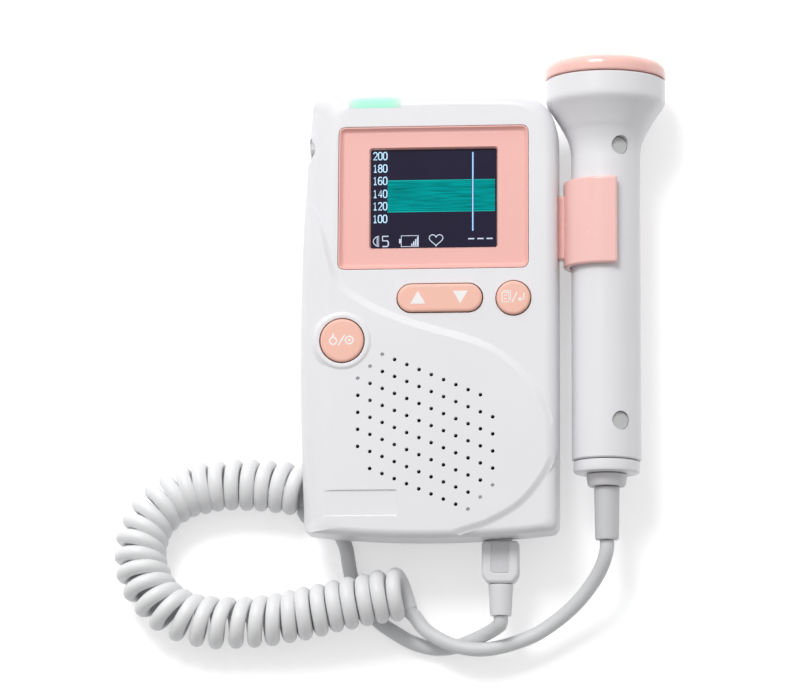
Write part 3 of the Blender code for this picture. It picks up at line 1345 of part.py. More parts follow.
def lay_cord(name, start, out, route, end, into):
    """A plain stretch of cord that leaves one piece and meets the next straight on."""
    stub = CORD_DIAMETER / 2
    first, last = start + out * stub, end - into * stub
    middle = smooth_route([first, *map(Vector, route), last], TUBE_STEP)
    place(tube(name, [start, *middle, end], CORD_DIAMETER, 2), ROOT, CORD_WHITE)


def build_lead():
    points, curls = coil_points()
    print("curls", curls, "least gap of the curly cord to itself, mm:", round(least_gap(points) * 1000, 2))
    place(tube("cord_curly", points, CORD_DIAMETER, 1), ROOT, CORD_WHITE)

    entry = (points[1] - points[0]).normalized()
    leaving = (points[-1] - points[-2]).normalized()
    along = Vector((0, 1, 0))
    near_probe = Vector((PROBE_X, PROBE_Y + SLEEVE_END - GAP, PROBE_Z))
    lay_cord("cord_to_probe", near_probe, -along, PROBE_CORD_ROUTE, points[0] - entry * GAP, entry)
    near_plug = Vector((USB_X, plug_foot() - 2 * GAP - RELIEF_LENGTH, USB_Z))
    lay_cord("cord_to_plug", points[-1] + leaving * GAP, leaving, PLUG_CORD_ROUTE, near_plug, along)


def plug_top():
    return foot_wall(USB_X - PLUG_WIDTH / 2) - GAP


def plug_foot():
    return plug_top() - PLUG_LENGTH


def build_plug():
    top, foot = plug_top(), plug_foot()
    half, end = PLUG_WIDTH / 2, PLUG_FOOT_WIDTH / 2
    low, high = USB_Z - PLUG_THICK / 2, USB_Z + PLUG_THICK / 2
    outline = [
        (USB_X + half, top), (USB_X - half, top), (USB_X - half, foot + PLUG_CHAMFER), (USB_X - end, foot),
        (USB_X + end, foot), (USB_X + half, foot + PLUG_CHAMFER),
    ]
    body = round_edges(plate("plug_body", outline, low, high), PLUG_ROUND, 2, 20)
    panel = boxes("plug_panel", [
        ((USB_X - PLUG_PANEL_WIDTH / 2, foot + PLUG_PANEL_END, high - PLUG_PANEL_DEPTH),
         (USB_X + PLUG_PANEL_WIDTH / 2, top + OVERRUN, high + OVERRUN)),
    ])
    slide = pivot("plug_slide", (USB_X, top, USB_Z))
    hang(combine(body, guide(panel)), slide, CORD_WHITE)
    wide, tall = TONGUE_WIDTH / 2, TONGUE_HEIGHT / 2
    tongue = boxes("plug_tongue", [
        ((USB_X - wide, top + GAP, USB_Z - tall), (USB_X + wide, top + TONGUE_REACH, USB_Z + tall)),
    ])
    hang(tongue, slide, STEEL)
    relief = turned("plug_relief", [
        (0, -GAP), (RELIEF_RADIUS, -GAP),
        (RELIEF_END_RADIUS, -GAP - RELIEF_LENGTH), (0, -GAP - RELIEF_LENGTH),
    ], 20)
    hang(relief, slide, CORD_WHITE)
    relief.location = (USB_X, foot, USB_Z)
    relief.rotation_euler = (-math.pi / 2, 0, 0)


build_front_shell()
build_back_shell()
build_case_screws()
build_light_pipe()
build_status_leds()
build_screen_bezel()
build_lcd_window()
build_lcd_module()
menu_skirt, power_skirt = menu_outline(KEY_FLANGE), power_outline(KEY_FLANGE)
build_key("rocker_key", rocker_outline, rocker_hold(), (ROCKER_X, ROCKER_Y), FACE_Z, switch_places()[:2])
build_key("menu_button", menu_outline, menu_skirt, (MENU_X, MENU_Y), FACE_Z, switch_places()[2:3])
build_key("power_button", power_outline, power_skirt, (POWER_X, POWER_Y), CASE_TOP, switch_places()[3:])
build_tact_switches()
build_main_board()
build_usb_socket()
build_earphone_jack()
build_speaker()
build_battery("left", -1)
build_battery("right", 1)
build_battery_contacts()
build_battery_door()
build_probe_clip()
build_probe_half("probe_shell_front", True)
build_probe_half("probe_shell_back", False)
build_probe_screws()
build_probe_head()
build_probe_board()
build_probe_end()
build_lead()
build_plug()
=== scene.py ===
import math

import bpy
from mathutils import Matrix, Vector


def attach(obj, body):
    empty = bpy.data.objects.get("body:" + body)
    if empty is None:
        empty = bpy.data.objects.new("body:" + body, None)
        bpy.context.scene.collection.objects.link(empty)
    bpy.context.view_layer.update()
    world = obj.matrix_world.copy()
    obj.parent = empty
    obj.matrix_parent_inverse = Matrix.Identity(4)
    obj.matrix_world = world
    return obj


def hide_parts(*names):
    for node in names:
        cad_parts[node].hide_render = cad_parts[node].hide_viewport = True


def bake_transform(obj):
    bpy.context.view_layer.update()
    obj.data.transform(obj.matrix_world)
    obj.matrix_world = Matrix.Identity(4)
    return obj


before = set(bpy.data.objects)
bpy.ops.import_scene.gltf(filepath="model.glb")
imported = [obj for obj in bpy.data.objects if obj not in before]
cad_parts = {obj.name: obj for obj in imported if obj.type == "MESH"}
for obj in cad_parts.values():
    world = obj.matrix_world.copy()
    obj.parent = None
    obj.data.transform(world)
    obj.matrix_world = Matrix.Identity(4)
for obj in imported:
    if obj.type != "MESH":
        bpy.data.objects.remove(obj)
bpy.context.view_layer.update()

print("frame loaded:", len(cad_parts), "nodes")

# Everything is modelled round the middle of the case, then moved to the model's own origin
caseMiddle = Vector((-0.01675, -0.0060, 0))


# Hand tools

def clearPick():
    bpy.ops.object.select_all(action="DESELECT")


def mode(name):
    bpy.ops.object.mode_set(mode=name)


def pickOnly(*objects):
    if bpy.context.mode != "OBJECT":
        mode("OBJECT")
    clearPick()
    for obj in objects:
        obj.select_set(True)
    bpy.context.view_layer.objects.active = objects[0]


def named(name):
    obj = bpy.context.object
    obj.name = name
    obj.data.name = name
    obj.select_set(False)
    return obj


def applied(obj, kind, **settings):
    modifier = obj.modifiers.new(kind.lower(), kind)
    for key, value in settings.items():
        setattr(modifier, key, value)
    pickOnly(obj)
    bpy.ops.object.modifier_apply(modifier=modifier.name)


def rounded(obj, width, segments, angle):
    limit = math.radians(angle)
    applied(obj, "BEVEL", width=width, segments=segments, limit_method="ANGLE", angle_limit=limit)


def cut(obj, cutter, operation="DIFFERENCE"):
    applied(obj, "BOOLEAN", operation=operation, object=cutter, solver="EXACT")
    bpy.data.objects.remove(cutter, do_unlink=True)
    return obj


def joined(name, objects):
    pickOnly(*objects)
    bpy.ops.object.join()
    return named(name)


def setDown(name):
    bpy.ops.object.transform_apply(location=True, rotation=True, scale=True)
    return named(name)


def boxBetween(name, low, high):
    clearPick()
    bpy.ops.mesh.primitive_cube_add(size=1, location=[(a + b) / 2 for a, b in zip(low, high)])
    bpy.context.object.scale = [b - a for a, b in zip(low, high)]
    return setDown(name)


def rodBetween(name, start, end, radius, sides=32):
    start, end = Vector(start), Vector(end)
    clearPick()
    bpy.ops.mesh.primitive_cone_add(
        vertices=sides, radius1=radius, radius2=radius, depth=(end - start).length,
        location=(start + end) / 2, rotation=(end - start).to_track_quat("Z", "Y").to_euler(),
    )
    return setDown(name)


def uprights(name, spots, low, high, radius, sides):
    # upright rods at some spots, joined to one
    return joined(name, [rodBetween(name, (x, y, low), (x, y, high), radius, sides) for x, y in spots])


def faceOutward():
    bpy.ops.mesh.select_all(action="SELECT")
    bpy.ops.mesh.normals_make_consistent(inside=False)
    bpy.ops.mesh.select_all(action="DESELECT")
    mode("OBJECT")


def loftThrough(name, rings):
    # a closed solid: a disc is shaped to the first ring, then extruded and shaped ring by ring
    clearPick()
    bpy.ops.mesh.primitive_circle_add(vertices=len(rings[0]), radius=1, fill_type="NGON")
    obj = named(name)
    obj.select_set(True)
    for vertex, point in zip(obj.data.vertices, rings[0]):
        vertex.co = point
    order = list(range(len(rings[0])))
    for ring in rings[1:]:
        before = [obj.data.vertices[i].co.copy() for i in order]
        mode("EDIT")
        bpy.ops.mesh.extrude_region_move()
        mode("OBJECT")
        fresh = [v.index for v in obj.data.vertices if v.select]
        spots = {tuple(round(c, 7) for c in obj.data.vertices[i].co): i for i in fresh}
        order = [spots[tuple(round(c, 7) for c in spot)] for spot in before]
        for i, point in zip(order, ring):
            obj.data.vertices[i].co = point
    mode("EDIT")
    faceOutward()
    return obj


def turnedOnZ(name, profile, steps=64, closed=False):
    # a profile of radius and height, spun once round Z
    clearPick()
    bpy.ops.mesh.primitive_circle_add(vertices=len(profile), radius=1, fill_type="NOTHING")
    obj = named(name)
    obj.select_set(True)
    for vertex, (radius, height) in zip(obj.data.vertices, profile):
        vertex.co = (radius, 0, height)
    if not closed:
        mode("EDIT")
        bpy.ops.mesh.select_mode(type="EDGE")
        bpy.ops.mesh.select_all(action="DESELECT")
        mode("OBJECT")
        for edge in obj.data.edges:
            edge.select = set(edge.vertices) == {0, len(profile) - 1}
        mode("EDIT")
        bpy.ops.mesh.delete(type="EDGE")
        mode("OBJECT")
    mode("EDIT")
    bpy.ops.mesh.select_mode(type="VERT")
    bpy.ops.mesh.select_all(action="SELECT")
    bpy.ops.mesh.spin(steps=steps, angle=2 * math.pi, center=(0, 0, 0), axis=(0, 0, 1))
    bpy.ops.mesh.select_all(action="SELECT")
    bpy.ops.mesh.remove_doubles(threshold=0.000002)
    faceOutward()
    return obj


def tubeAlong(name, points, diameter, resolution, closed=False):
    # a curve with a round section, made a mesh
    clearPick()
    curve = bpy.data.curves.new(name, "CURVE")
    curve.dimensions = "3D"
    curve.bevel_depth = diameter / 2
    curve.bevel_resolution = resolution
    curve.use_fill_caps = True
    spline = curve.splines.new("POLY")
    spline.points.add(len(points) - 1)
    for spot, point in zip(spline.points, points):
        spot.co = (*point, 1)
    spline.use_cyclic_u = closed
    obj = bpy.data.objects.new(name, curve)
    bpy.context.scene.collection.objects.link(obj)
    pickOnly(obj)
    bpy.ops.object.convert(target="MESH")
    return named(name)


def eased(t):
    return 3 * t ** 2 - 2 * t ** 3


def through(a, b, c, d, t):
    return (2 * b + (c - a) * t + (2 * a - 5 * b + 4 * c - d) * t ** 2 + (3 * b - a - 3 * c + d) * t ** 3) / 2


def beside(a, b, c, d, t):
    near = (4 - 6 * t ** 2 + 3 * t ** 3) * b + (1 + 3 * t + 3 * t ** 2 - 3 * t ** 3) * c
    return ((1 - t) ** 3 * a + near + t ** 3 * d) / 6


def fineCurve(knots, curve, perSpan):
    # more points on a smooth curve through the knots or beside them
    knots = [2 * knots[0] - knots[1], *knots, 2 * knots[-1] - knots[-2]]
    fine = []
    for four in zip(knots, knots[1:], knots[2:], knots[3:]):
        fine += [curve(*four, i / perSpan) for i in range(perSpan)]
    return [*fine, knots[-2]]


def located(marks, targets):
    # for each target, the span between two rising marks that holds it, and how far along it lies
    i = 0
    for target in targets:
        while i < len(marks) - 2 and marks[i + 1] < target:
            i += 1
        yield i, (target - marks[i]) / (marks[i + 1] - marks[i])


def smoothRoute(route, step, curve=through):
    # points a given step apart on a smooth curve along the route, both ends kept
    fine = fineCurve([Vector(point) for point in route], curve, 24)
    lengths = [0]
    for a, b in zip(fine, fine[1:]):
        lengths.append(lengths[-1] + (b - a).length)
    count = max(2, round(lengths[-1] / step))
    targets = [lengths[-1] * k / count for k in range(count + 1)]
    return [fine[i].lerp(fine[i + 1], share) for i, share in located(lengths, targets)]


def mergedCopy(node, name):
    # a welded copy of a CAD node, whose triangles share no corners
    pickOnly(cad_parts[node])
    bpy.ops.object.duplicate()
    obj = bpy.context.object
    obj.parent = None
    obj.matrix_world = Matrix.Identity(4)
    for key in list(obj.keys()):
        if key.startswith("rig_"):
            del obj[key]
    mode("EDIT")
    bpy.ops.mesh.select_all(action="SELECT")
    bpy.ops.mesh.remove_doubles(threshold=0.000004)
    bpy.ops.mesh.dissolve_limited(angle_limit=math.radians(0.5))
    bpy.ops.mesh.select_all(action="DESELECT")
    mode("OBJECT")
    obj.data.transform(Matrix.Translation(-caseMiddle))
    return named(name)


def coated(obj, look, angle):
    pickOnly(obj)
    bpy.ops.object.shade_smooth_by_angle(angle=math.radians(angle))
    obj.data.materials.clear()
    obj.data.materials.append(look)


def finished(obj, body, look, replaces="", angle=35, weighted=True, at=Matrix.Identity(4)):
    # one piece is done: its place, its shading, its finish and what it moves with
    obj.data.transform(Matrix.Translation(caseMiddle) @ at)
    coated(obj, look, angle)
    if weighted:
        applied(obj, "WEIGHTED_NORMAL", keep_sharp=True, weight=60, mode="FACE_AREA_WITH_ANGLE")
    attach(obj, body)
    if replaces:
        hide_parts(replaces)


# Camera: far off and a little to the right and foot of the case, looking down

cameraPlace = {
    "target": (-0.0088, -0.0116, 0.0290),
    "distance": 1.380,
    "pitch": 8.9,
    "yaw": -5.5,
    "roll": 0.2,
    "lens": 202.5,
}


def makeCamera():
    pitch, yaw, roll = (math.radians(cameraPlace[key]) for key in ("pitch", "yaw", "roll"))
    forward = Vector((math.sin(yaw) * math.cos(pitch), math.sin(pitch), -math.cos(yaw) * math.cos(pitch)))
    right = forward.cross(Vector((0, 1, 0))).normalized()
    up = right.cross(forward)
    across = right * math.cos(roll) + up * math.sin(roll)
    upright = up * math.cos(roll) - right * math.sin(roll)
    place = Matrix((across, upright, -forward)).transposed().to_4x4()
    place.translation = Vector(cameraPlace["target"]) + caseMiddle - forward * cameraPlace["distance"]
    clearPick()
    bpy.ops.object.camera_add()
    camera = bpy.context.object
    camera.name = "photoCamera"
    camera.matrix_world = place
    camera.data.lens = cameraPlace["lens"]
    camera.data.clip_start = 0.05
    camera.data.clip_end = 50
    bpy.context.scene.camera = camera


makeCamera()
print("camera placed")


# Materials

texture = {
    "flowScale": 38,
    "wearScale": 210,
    "wearSpread": 0.15,
    "skinScale": 2600,
    "skinDepth": 0.000004,
    "coatRoughness": 0.12,
}


def newMaterial(name):
    material = bpy.data.materials.new(name)
    material.use_nodes = True
    return material, material.node_tree, material.node_tree.nodes["Principled BSDF"]


def feed(tree, node, values):
    # each socket gets its value, or a link where the value is the output of another node
    for socket, value in values.items():
        if isinstance(value, bpy.types.NodeSocket):
            tree.links.new(value, node.inputs[socket])
        else:
            node.inputs[socket].default_value = value


def added(tree, kind, values, output, **settings):
    node = tree.nodes.new("ShaderNode" + kind)
    for key, value in settings.items():
        setattr(node, key, value)
    feed(tree, node, values)
    return node.outputs[output]


def calculated(tree, operation, a, b):
    return added(tree, "Math", {0: a, 1: b}, "Value", operation=operation)


def noiseOn(tree, scale, detail=3.0, stretch=(1, 1, 1)):
    place = added(tree, "TexCoord", {}, "Object")
    spread = added(tree, "Mapping", {"Vector": place, "Scale": stretch}, "Vector")
    return added(tree, "TexNoise", {"Vector": spread, "Scale": scale, "Detail": detail}, "Fac")


def ranged(tree, value, low, high):
    return added(tree, "MapRange", {"Value": value, "To Min": low, "To Max": high}, "Result")


def ramped(tree, value, low, high, stops=(0, 1)):
    ramp = tree.nodes.new("ShaderNodeValToRGB")
    for element, stop, colour in zip(ramp.color_ramp.elements, stops, (low, high)):
        element.position = stop
        element.color = (*colour, 1)
    tree.links.new(value, ramp.inputs["Fac"])
    return ramp.outputs["Color"]


def shaded(tree, value, colour, amount):
    # the colour, a little darker and lighter from place to place
    low, high = [c * (1 - amount) for c in colour], [min(1, c * (1 + amount)) for c in colour]
    return ramped(tree, value, low, high, (0.3, 0.7))


def bumped(tree, height, depth):
    return added(tree, "Bump", {"Height": height, "Distance": depth, "Strength": 1.0}, "Normal")


def mouldedPlastic(
    name, colour, roughness, coat=0.0, grain=texture["skinDepth"], grainScale=texture["skinScale"],
    variation=0.012, sheen=0.5,
):
    # injection moulded plastic: a soft flow in colour, a fine skin and uneven gloss
    material, tree, shader = newMaterial(name)
    wear, spread = noiseOn(tree, texture["wearScale"], 5), texture["wearSpread"]
    feed(tree, shader, {
        "Base Color": shaded(tree, noiseOn(tree, texture["flowScale"], 4), colour, variation),
        "Roughness": ranged(tree, wear, roughness * (1 - spread), roughness * (1 + spread)),
        "Coat Weight": coat,
        "Coat Roughness": texture["coatRoughness"],
        "Specular IOR Level": sheen,
        "Normal": bumped(tree, noiseOn(tree, grainScale, 2), grain),
    })
    return material


def brushedMetal(name, colour, roughness):
    material, tree, shader = newMaterial(name)
    lines = noiseOn(tree, 900, 3, (1, 12, 1))
    feed(tree, shader, {
        "Base Color": shaded(tree, lines, colour, 0.08),
        "Roughness": ranged(tree, lines, roughness * 0.7, roughness * 1.3),
        "Metallic": 1,
        "Normal": bumped(tree, lines, texture["skinDepth"]),
    })
    return material


def glowing(name, colour, strength, streaks=0.02):
    # a lit mark or band of the display, with fine scan lines where streaks are given
    material, tree, shader = newMaterial(name)
    feed(tree, shader, {
        "Base Color": (*(c * 0.3 for c in colour), 1),
        "Roughness": 0.5,
        "Specular IOR Level": 0.02,
        "Emission Strength": strength,
        "Emission Color": shaded(tree, noiseOn(tree, 900, 4, (0.11, 3.0, 1)), colour, streaks),
    })
    return material


def pipeGlow(name, middle, half, edge):
    # mint light in the middle of the pipe that fades to white at its two ends and at the top edge
    material, tree, shader = newMaterial(name)
    place = added(tree, "TexCoord", {}, "Object")
    x, y = (added(tree, "SeparateXYZ", {"Vector": place}, axis) for axis in ("X", "Y"))
    across = calculated(tree, "ABSOLUTE", calculated(tree, "SUBTRACT", x, middle), 0)
    ends = calculated(tree, "POWER", calculated(tree, "DIVIDE", across, half), 5)
    above = calculated(tree, "MAXIMUM", calculated(tree, "SUBTRACT", y, edge), 0)
    fade = calculated(tree, "ADD", ends, calculated(tree, "MULTIPLY", above, 420))
    fade = calculated(tree, "MINIMUM", fade, 1)
    feed(tree, shader, {
        "Base Color": ramped(tree, fade, (0.360, 0.790, 0.610), (0.760, 0.775, 0.780)),
        "Emission Color": ramped(tree, fade, (0.560, 1.000, 0.740), (0, 0, 0)),
        "Emission Strength": 0.14,
        "Roughness": ranged(tree, noiseOn(tree, 260, 3), 0.48, 0.60),
        "Specular IOR Level": 0.1,
        "Normal": bumped(tree, noiseOn(tree, texture["skinScale"], 2), texture["skinDepth"]),
    })
    return material


cordSkin = {"grain": 0.00001, "grainScale": 1500, "variation": 0.02}
caseWhite = mouldedPlastic("caseWhite", (0.815, 0.810, 0.835), 0.36, coat=0.06)
probeWhite = mouldedPlastic("probeWhite", (0.815, 0.810, 0.835), 0.30, coat=0.15)
panelPink = mouldedPlastic("panelPink", (0.890, 0.480, 0.435), 0.40)
clipPink = mouldedPlastic("clipPink", (0.940, 0.565, 0.520), 0.26, coat=0.45)
capPink = mouldedPlastic("capPink", (0.970, 0.575, 0.515), 0.20, coat=0.50)
keyPink = mouldedPlastic("keyPink", (0.915, 0.520, 0.420), 0.44)
cordGrey = mouldedPlastic("cordGrey", (0.700, 0.705, 0.712), 0.48, **cordSkin)
sleeveGrey = mouldedPlastic("sleeveGrey", (0.610, 0.612, 0.625), 0.46)
jackGrey = mouldedPlastic("jackGrey", (0.560, 0.555, 0.570), 0.42)
coilGrey = mouldedPlastic("coilGrey", (0.840, 0.843, 0.850), 0.44, **cordSkin)
glandGrey = mouldedPlastic("glandGrey", (0.740, 0.725, 0.740), 0.46)
panelGrey = mouldedPlastic("panelGrey", (0.640, 0.640, 0.665), 0.24)
coverGrey = mouldedPlastic("coverGrey", (0.560, 0.565, 0.565), 0.55, grain=0.00001, grainScale=1800)
plugWhite = mouldedPlastic("plugWhite", (0.755, 0.755, 0.770), 0.42)
darkPlastic = mouldedPlastic("darkPlastic", (0.022, 0.022, 0.026), 0.50, grain=0.00001)
mintPipe = pipeGlow("mintPipe", -0.03365, 0.0083, 0.0608)
boardGreen = mouldedPlastic(
    "boardGreen", (0.015, 0.160, 0.070), 0.42, grain=0.00002, grainScale=900, variation=0.15,
)
ceramic = mouldedPlastic("ceramic", (0.620, 0.540, 0.380), 0.60, variation=0.06)
coneFibre = mouldedPlastic(
    "coneFibre", (0.075, 0.072, 0.070), 0.80, grain=0.00003, grainScale=1200, variation=0.2,
)
steel = brushedMetal("steel", (0.600, 0.600, 0.620), 0.32)
displayDark = mouldedPlastic("displayDark", (0.012, 0.009, 0.033), 0.22, variation=0.08, sheen=0.22)
displayWhite = glowing("displayWhite", (0.640, 0.720, 0.860), 0.80)
displayBlue = glowing("displayBlue", (0.480, 0.720, 0.900), 1.05)
displayTeal = glowing("displayTeal", (0.000, 0.235, 0.232), 0.90, streaks=0.60)
displayAqua = glowing("displayAqua", (0.010, 0.400, 0.360), 0.90)
displayDeep = glowing("displayDeep", (0.020, 0.075, 0.260), 0.80)
markWhite = mouldedPlastic("markWhite", (0.900, 0.880, 0.870), 0.40)

print("materials ready")


# Case shells

case = {
    "halfWidth": 0.0393,
    "halfLength": 0.0677,
    "leftReach": 0.0012,
    "leftBowTop": 0.0034,
    "leftBowFoot": 0.0017,
    "topBulge": 0.0013,
    "topArch": 0.0009,
    "footBulge": 0.0018,
    "footArch": 0.0024,
    "widest": -0.12,
    "taper": -0.30,
    "frontRound": {
        "right": (0.0036, 0.0036), "top": (0.004, 0.004), "left": (0.010, 0.009), "foot": (0.0026, 0.003),
    },
    "outerCorners": {"footright": 0.0027, "topright": 0.0142, "topleft": 0.0034, "footleft": 0.0022},
    "faceCorners": {"footright": 0.0027, "topright": 0.0124, "topleft": 0.0060, "footleft": 0.0046},
    "backRound": {side: (width, 0.007) for side, width in (
        ("right", 0.0055), ("top", 0.0045), ("left", 0.0055), ("foot", 0.0045),
    )},
    "split": 0.0150,
    "tray": 0.0060,
    "ceiling": 0.0260,
    "face": 0.0280,
    "raised": 0.0290,
    "wall": 0.0020,
    "gap": 0.0003,
    "over": 0.0010,
    "stepSlope": 0.0025,
    "sweep": [
        (-1.30, 0.66), (-1.00, 0.52), (-0.86, 0.38), (-0.73, 0.16), (-0.49, 0.045), (-0.13, -0.045),
        (0.35, -0.13),
        (0.59, -0.205), (0.83, -0.345), (0.945, -0.51), (0.970, -0.62), (0.90, -0.735), (0.715, -0.868),
        (0.47, -0.953), (0.25, -0.995), (0.00, -1.05),
    ],
    "screws": [(side * 0.0292, y) for side in (-1, 1) for y in (0.0610, -0.0600)],
    "bossRadius": 0.0027,
    "pilotRadius": 0.0010,
    "pilotDepth": 0.0098,
    "recess": ((-0.0325, -0.06235, 0.02858), (-0.0100, -0.05505, 0.03100)),
    "pipe": ((-0.0251, 0.0645, 0.0227), (-0.0087, 0.0705, 0.0310)),
    "neck": ((0.0363, 0.0170, 0.0164), (0.0403, 0.0374, 0.0220)),
    "usb": ((0.0175, -0.0705, 0.0142), (0.0249, -0.0655, 0.0168)),
    "jack": (0.0523, 0.0219),
    "jackRecess": (0.0012, 0.0040),
    "jackHole": (0.0085, 0.0031),
}
keys = {
    "rocker": ((0.00333, 0.00463), 0.01305, 0.0043),
    "menu": ((0.02598, 0.00437), 0.0052, 0.0052),
    "power": ((-0.02668, -0.00850), 0.0067, 0.0067),
    "gap": 0.0004,
    "flange": 0.0010,
    "flangeFoot": 0.0247,
    "flangeTop": 0.0257,
    "proud": 0.0010,
    "crown": [
        (0.0, 0.0007), (0.00004, 0.0005), (0.00014, 0.00028), (0.0003, 0.00012), (0.0006, 0.00003),
        (0.0011, 0.0),
    ],
    "opening": [(0.0003, -0.0003), (0.00038, -0.0001), (0.0006, 0.00002)],
    "collar": (0.0023, 0.0014, 0.0005, 0.0006),
    "stem": (0.0233, 0.0245, 0.0015),
    "hold": 0.0035,
}


def caseSides(inset):
    halfW, halfL = case["halfWidth"], case["halfLength"]
    widest, taper = case["widest"] * halfL, case["taper"] * halfL

    def left(y):
        upper = max(0, (y - widest) / (halfL - widest))
        lower = max(0, (taper - y) / (halfL + taper))
        bow = case["leftBowTop"] * upper ** 2 + case["leftBowFoot"] * lower ** 1.25
        return bow - halfW - case["leftReach"] + inset["left"]

    return {
        "right": lambda y: halfW - inset["right"],
        "left": left,
        "top": lambda x: halfL + case["topBulge"] - case["topArch"] * (x / halfW) ** 2 - inset["top"],
        "foot": lambda x: case["footArch"] * (x / halfW) ** 2 - halfL - case["footBulge"] + inset["foot"],
    }


def caseOutline(inset, corners, rise, sideSteps=18, cornerSteps=12):
    # points anticlockwise round the case, each with the height of the rounding there
    side = caseSides(inset)
    turns = {}
    for end, up in (("foot", -1), ("top", 1)):
        for flank, out in (("left", -1), ("right", 1)):
            radius = corners[end + flank]
            x = side[flank](up * (case["halfLength"] - inset[end]))
            y = side[end](x)
            onFlank = Vector((side[flank](y - up * radius), y - up * radius))
            onEnd = Vector((x - out * radius, side[end](x - out * radius)))
            turns[end, flank] = (onFlank, Vector((x, y)), onEnd)
    points = []

    def turn(end, flank, fromFlank):
        a, b, c = turns[end, flank] if fromFlank else reversed(turns[end, flank])
        low, high = (rise[flank], rise[end]) if fromFlank else (rise[end], rise[flank])
        for i in range(cornerSteps + 1):
            t = i / cornerSteps
            spot = a * (1 - t) ** 2 + b * 2 * t * (1 - t) + c * t ** 2
            points.append((spot.x, spot.y, low + (high - low) * t))
        return c

    def run(name, start, stop, alongY):
        for i in range(1, sideSteps):
            t = i / sideSteps
            if alongY:
                y = start.y + (stop.y - start.y) * t
                points.append((side[name](y), y, rise[name]))
            else:
                x = start.x + (stop.x - start.x) * t
                points.append((x, side[name](x), rise[name]))

    run("right", turns["foot", "right"][0], turns["top", "right"][0], True)
    run("top", turn("top", "right", True), turns["top", "left"][2], False)
    run("left", turn("top", "left", False), turns["foot", "left"][0], True)
    run("foot", turn("foot", "left", True), turns["foot", "right"][2], False)
    turn("foot", "right", False)
    return points


def caseForm(name, inset, rim, cap, rounds, arcSteps=12):
    rise = {side: rounds[side][1] for side in rounds}
    outer = caseOutline({side: inset for side in rounds}, case["outerCorners"], rise)
    inner = caseOutline({side: inset + rounds[side][0] for side in rounds}, case["faceCorners"], rise)
    away = math.copysign(1, cap - rim)
    rings = [[(x, y, rim) for x, y, height in outer]]
    for k in range(arcSteps + 1):
        turn = math.pi / 2 * k / arcSteps
        inward, drop = 1 - math.cos(turn), 1 - math.sin(turn)
        rings.append([
            (a[0] + (b[0] - a[0]) * inward, a[1] + (b[1] - a[1]) * inward, cap - away * a[2] * drop)
            for a, b in zip(outer, inner)
        ])
    return loftThrough(name, rings)


def sweepCutter():
    # what is cut off the upper right of the face, with a soft sloping edge
    halfW, halfL = case["halfWidth"], case["halfLength"]
    line = smoothRoute([(x * halfW, y * halfL, 0) for x, y in case["sweep"]], 0.0014)
    far = [(halfW * x, halfL * y) for x, y in ((0.0, -1.3), (1.3, -1.3), (1.3, 1.3), (-1.3, 1.3))]
    outward = [(b - a).normalized() for a, b in zip(line, line[1:])]
    outward = [outward[0], *((a + b).normalized() for a, b in zip(outward, outward[1:])), outward[-1]]

    def ring(offset, z):
        edge = [(p.x + t.y * offset, p.y - t.x * offset, z) for p, t in zip(line, outward)]
        return edge + [(x, y, z) for x, y in far]

    slope, height = case["stepSlope"], case["raised"] - case["face"]
    rings = [ring(-slope / 2, case["split"] + case["wall"])]
    rings += [ring((k / 8 - 0.5) * slope, case["face"] + height * eased(k / 8)) for k in range(9)]
    rings.append(ring(slope / 2 + case["over"], case["raised"] + case["over"]))
    cutter = loftThrough("sweepCutter", rings)
    return cut(cutter, caseForm("loweredFace", -0.00005, case["split"], case["face"], case["frontRound"]))


def ringAt(outline, z):
    return [(x, y, z) for x, y in outline]


def plate(name, outline, low, high):
    return loftThrough(name, [ringAt(outline, low), ringAt(outline, high)])


def roundOutline(centre, radius, count=64):
    turns = [2 * math.pi * i / count for i in range(count)]
    return [(centre[0] + radius * math.cos(turn), centre[1] + radius * math.sin(turn)) for turn in turns]


def keyOutline(centre, halfLength, halfWidth, grow, count=20):
    # a round key, or a lying capsule where the key is longer than wide
    if halfLength == halfWidth:
        return roundOutline(centre, halfWidth + grow)
    radius, outline = halfWidth + grow, []
    for start, side in ((-90, 1), (90, -1)):
        for i in range(count + 1):
            turn = math.radians(start + 180 * i / count)
            x = centre[0] + side * (halfLength - halfWidth) + radius * math.cos(turn)
            outline.append((x, centre[1] + radius * math.sin(turn)))
    return outline


def roundedRect(centre, width, length, radius, steps=8):
    outline = []
    for i, (sx, sy) in enumerate(((1, -1), (1, 1), (-1, 1), (-1, -1))):
        cx, cy = centre[0] + sx * (width / 2 - radius), centre[1] + sy * (length / 2 - radius)
        for k in range(steps + 1):
            turn = math.radians(-90 + 90 * i + 90 * k / steps)
            outline.append((cx + radius * math.cos(turn), cy + radius * math.sin(turn)))
    return outline


def rectLoft(name, low, high, levels, steps=8):
    # rounded rectangles about the same middle, each with its growth, its corner and its height
    centre = ((low[0] + high[0]) / 2, (low[1] + high[1]) / 2)
    width, length = high[0] - low[0], high[1] - low[1]
    return loftThrough(name, [
        ringAt(roundedRect(centre, width + grow, length + grow, corner, steps), z)
        for grow, corner, z in levels
    ])


screen = {
    "leftTop": -0.02802,
    "leftFoot": -0.02820,
    "right": 0.03054,
    "top": 0.05840,
    "foot": 0.01390,
    "corner": 0.0023,
    "floor": 0.0268,
    "slope": 0.0013,
    "lcd": (0.00122, 0.03615),
    "lcdSize": (0.0391, 0.0311),
    "windowFoot": 0.0244,
    "windowTop": 0.0254,
    "flange": 0.0012,
}


def bezelFlange(side, top):
    right, foot = screen["right"] + side, screen["foot"] - side
    head = screen["top"] + top
    return [(right, foot), (right, head), (screen["leftTop"] - side, head), (screen["leftFoot"] - side, foot)]


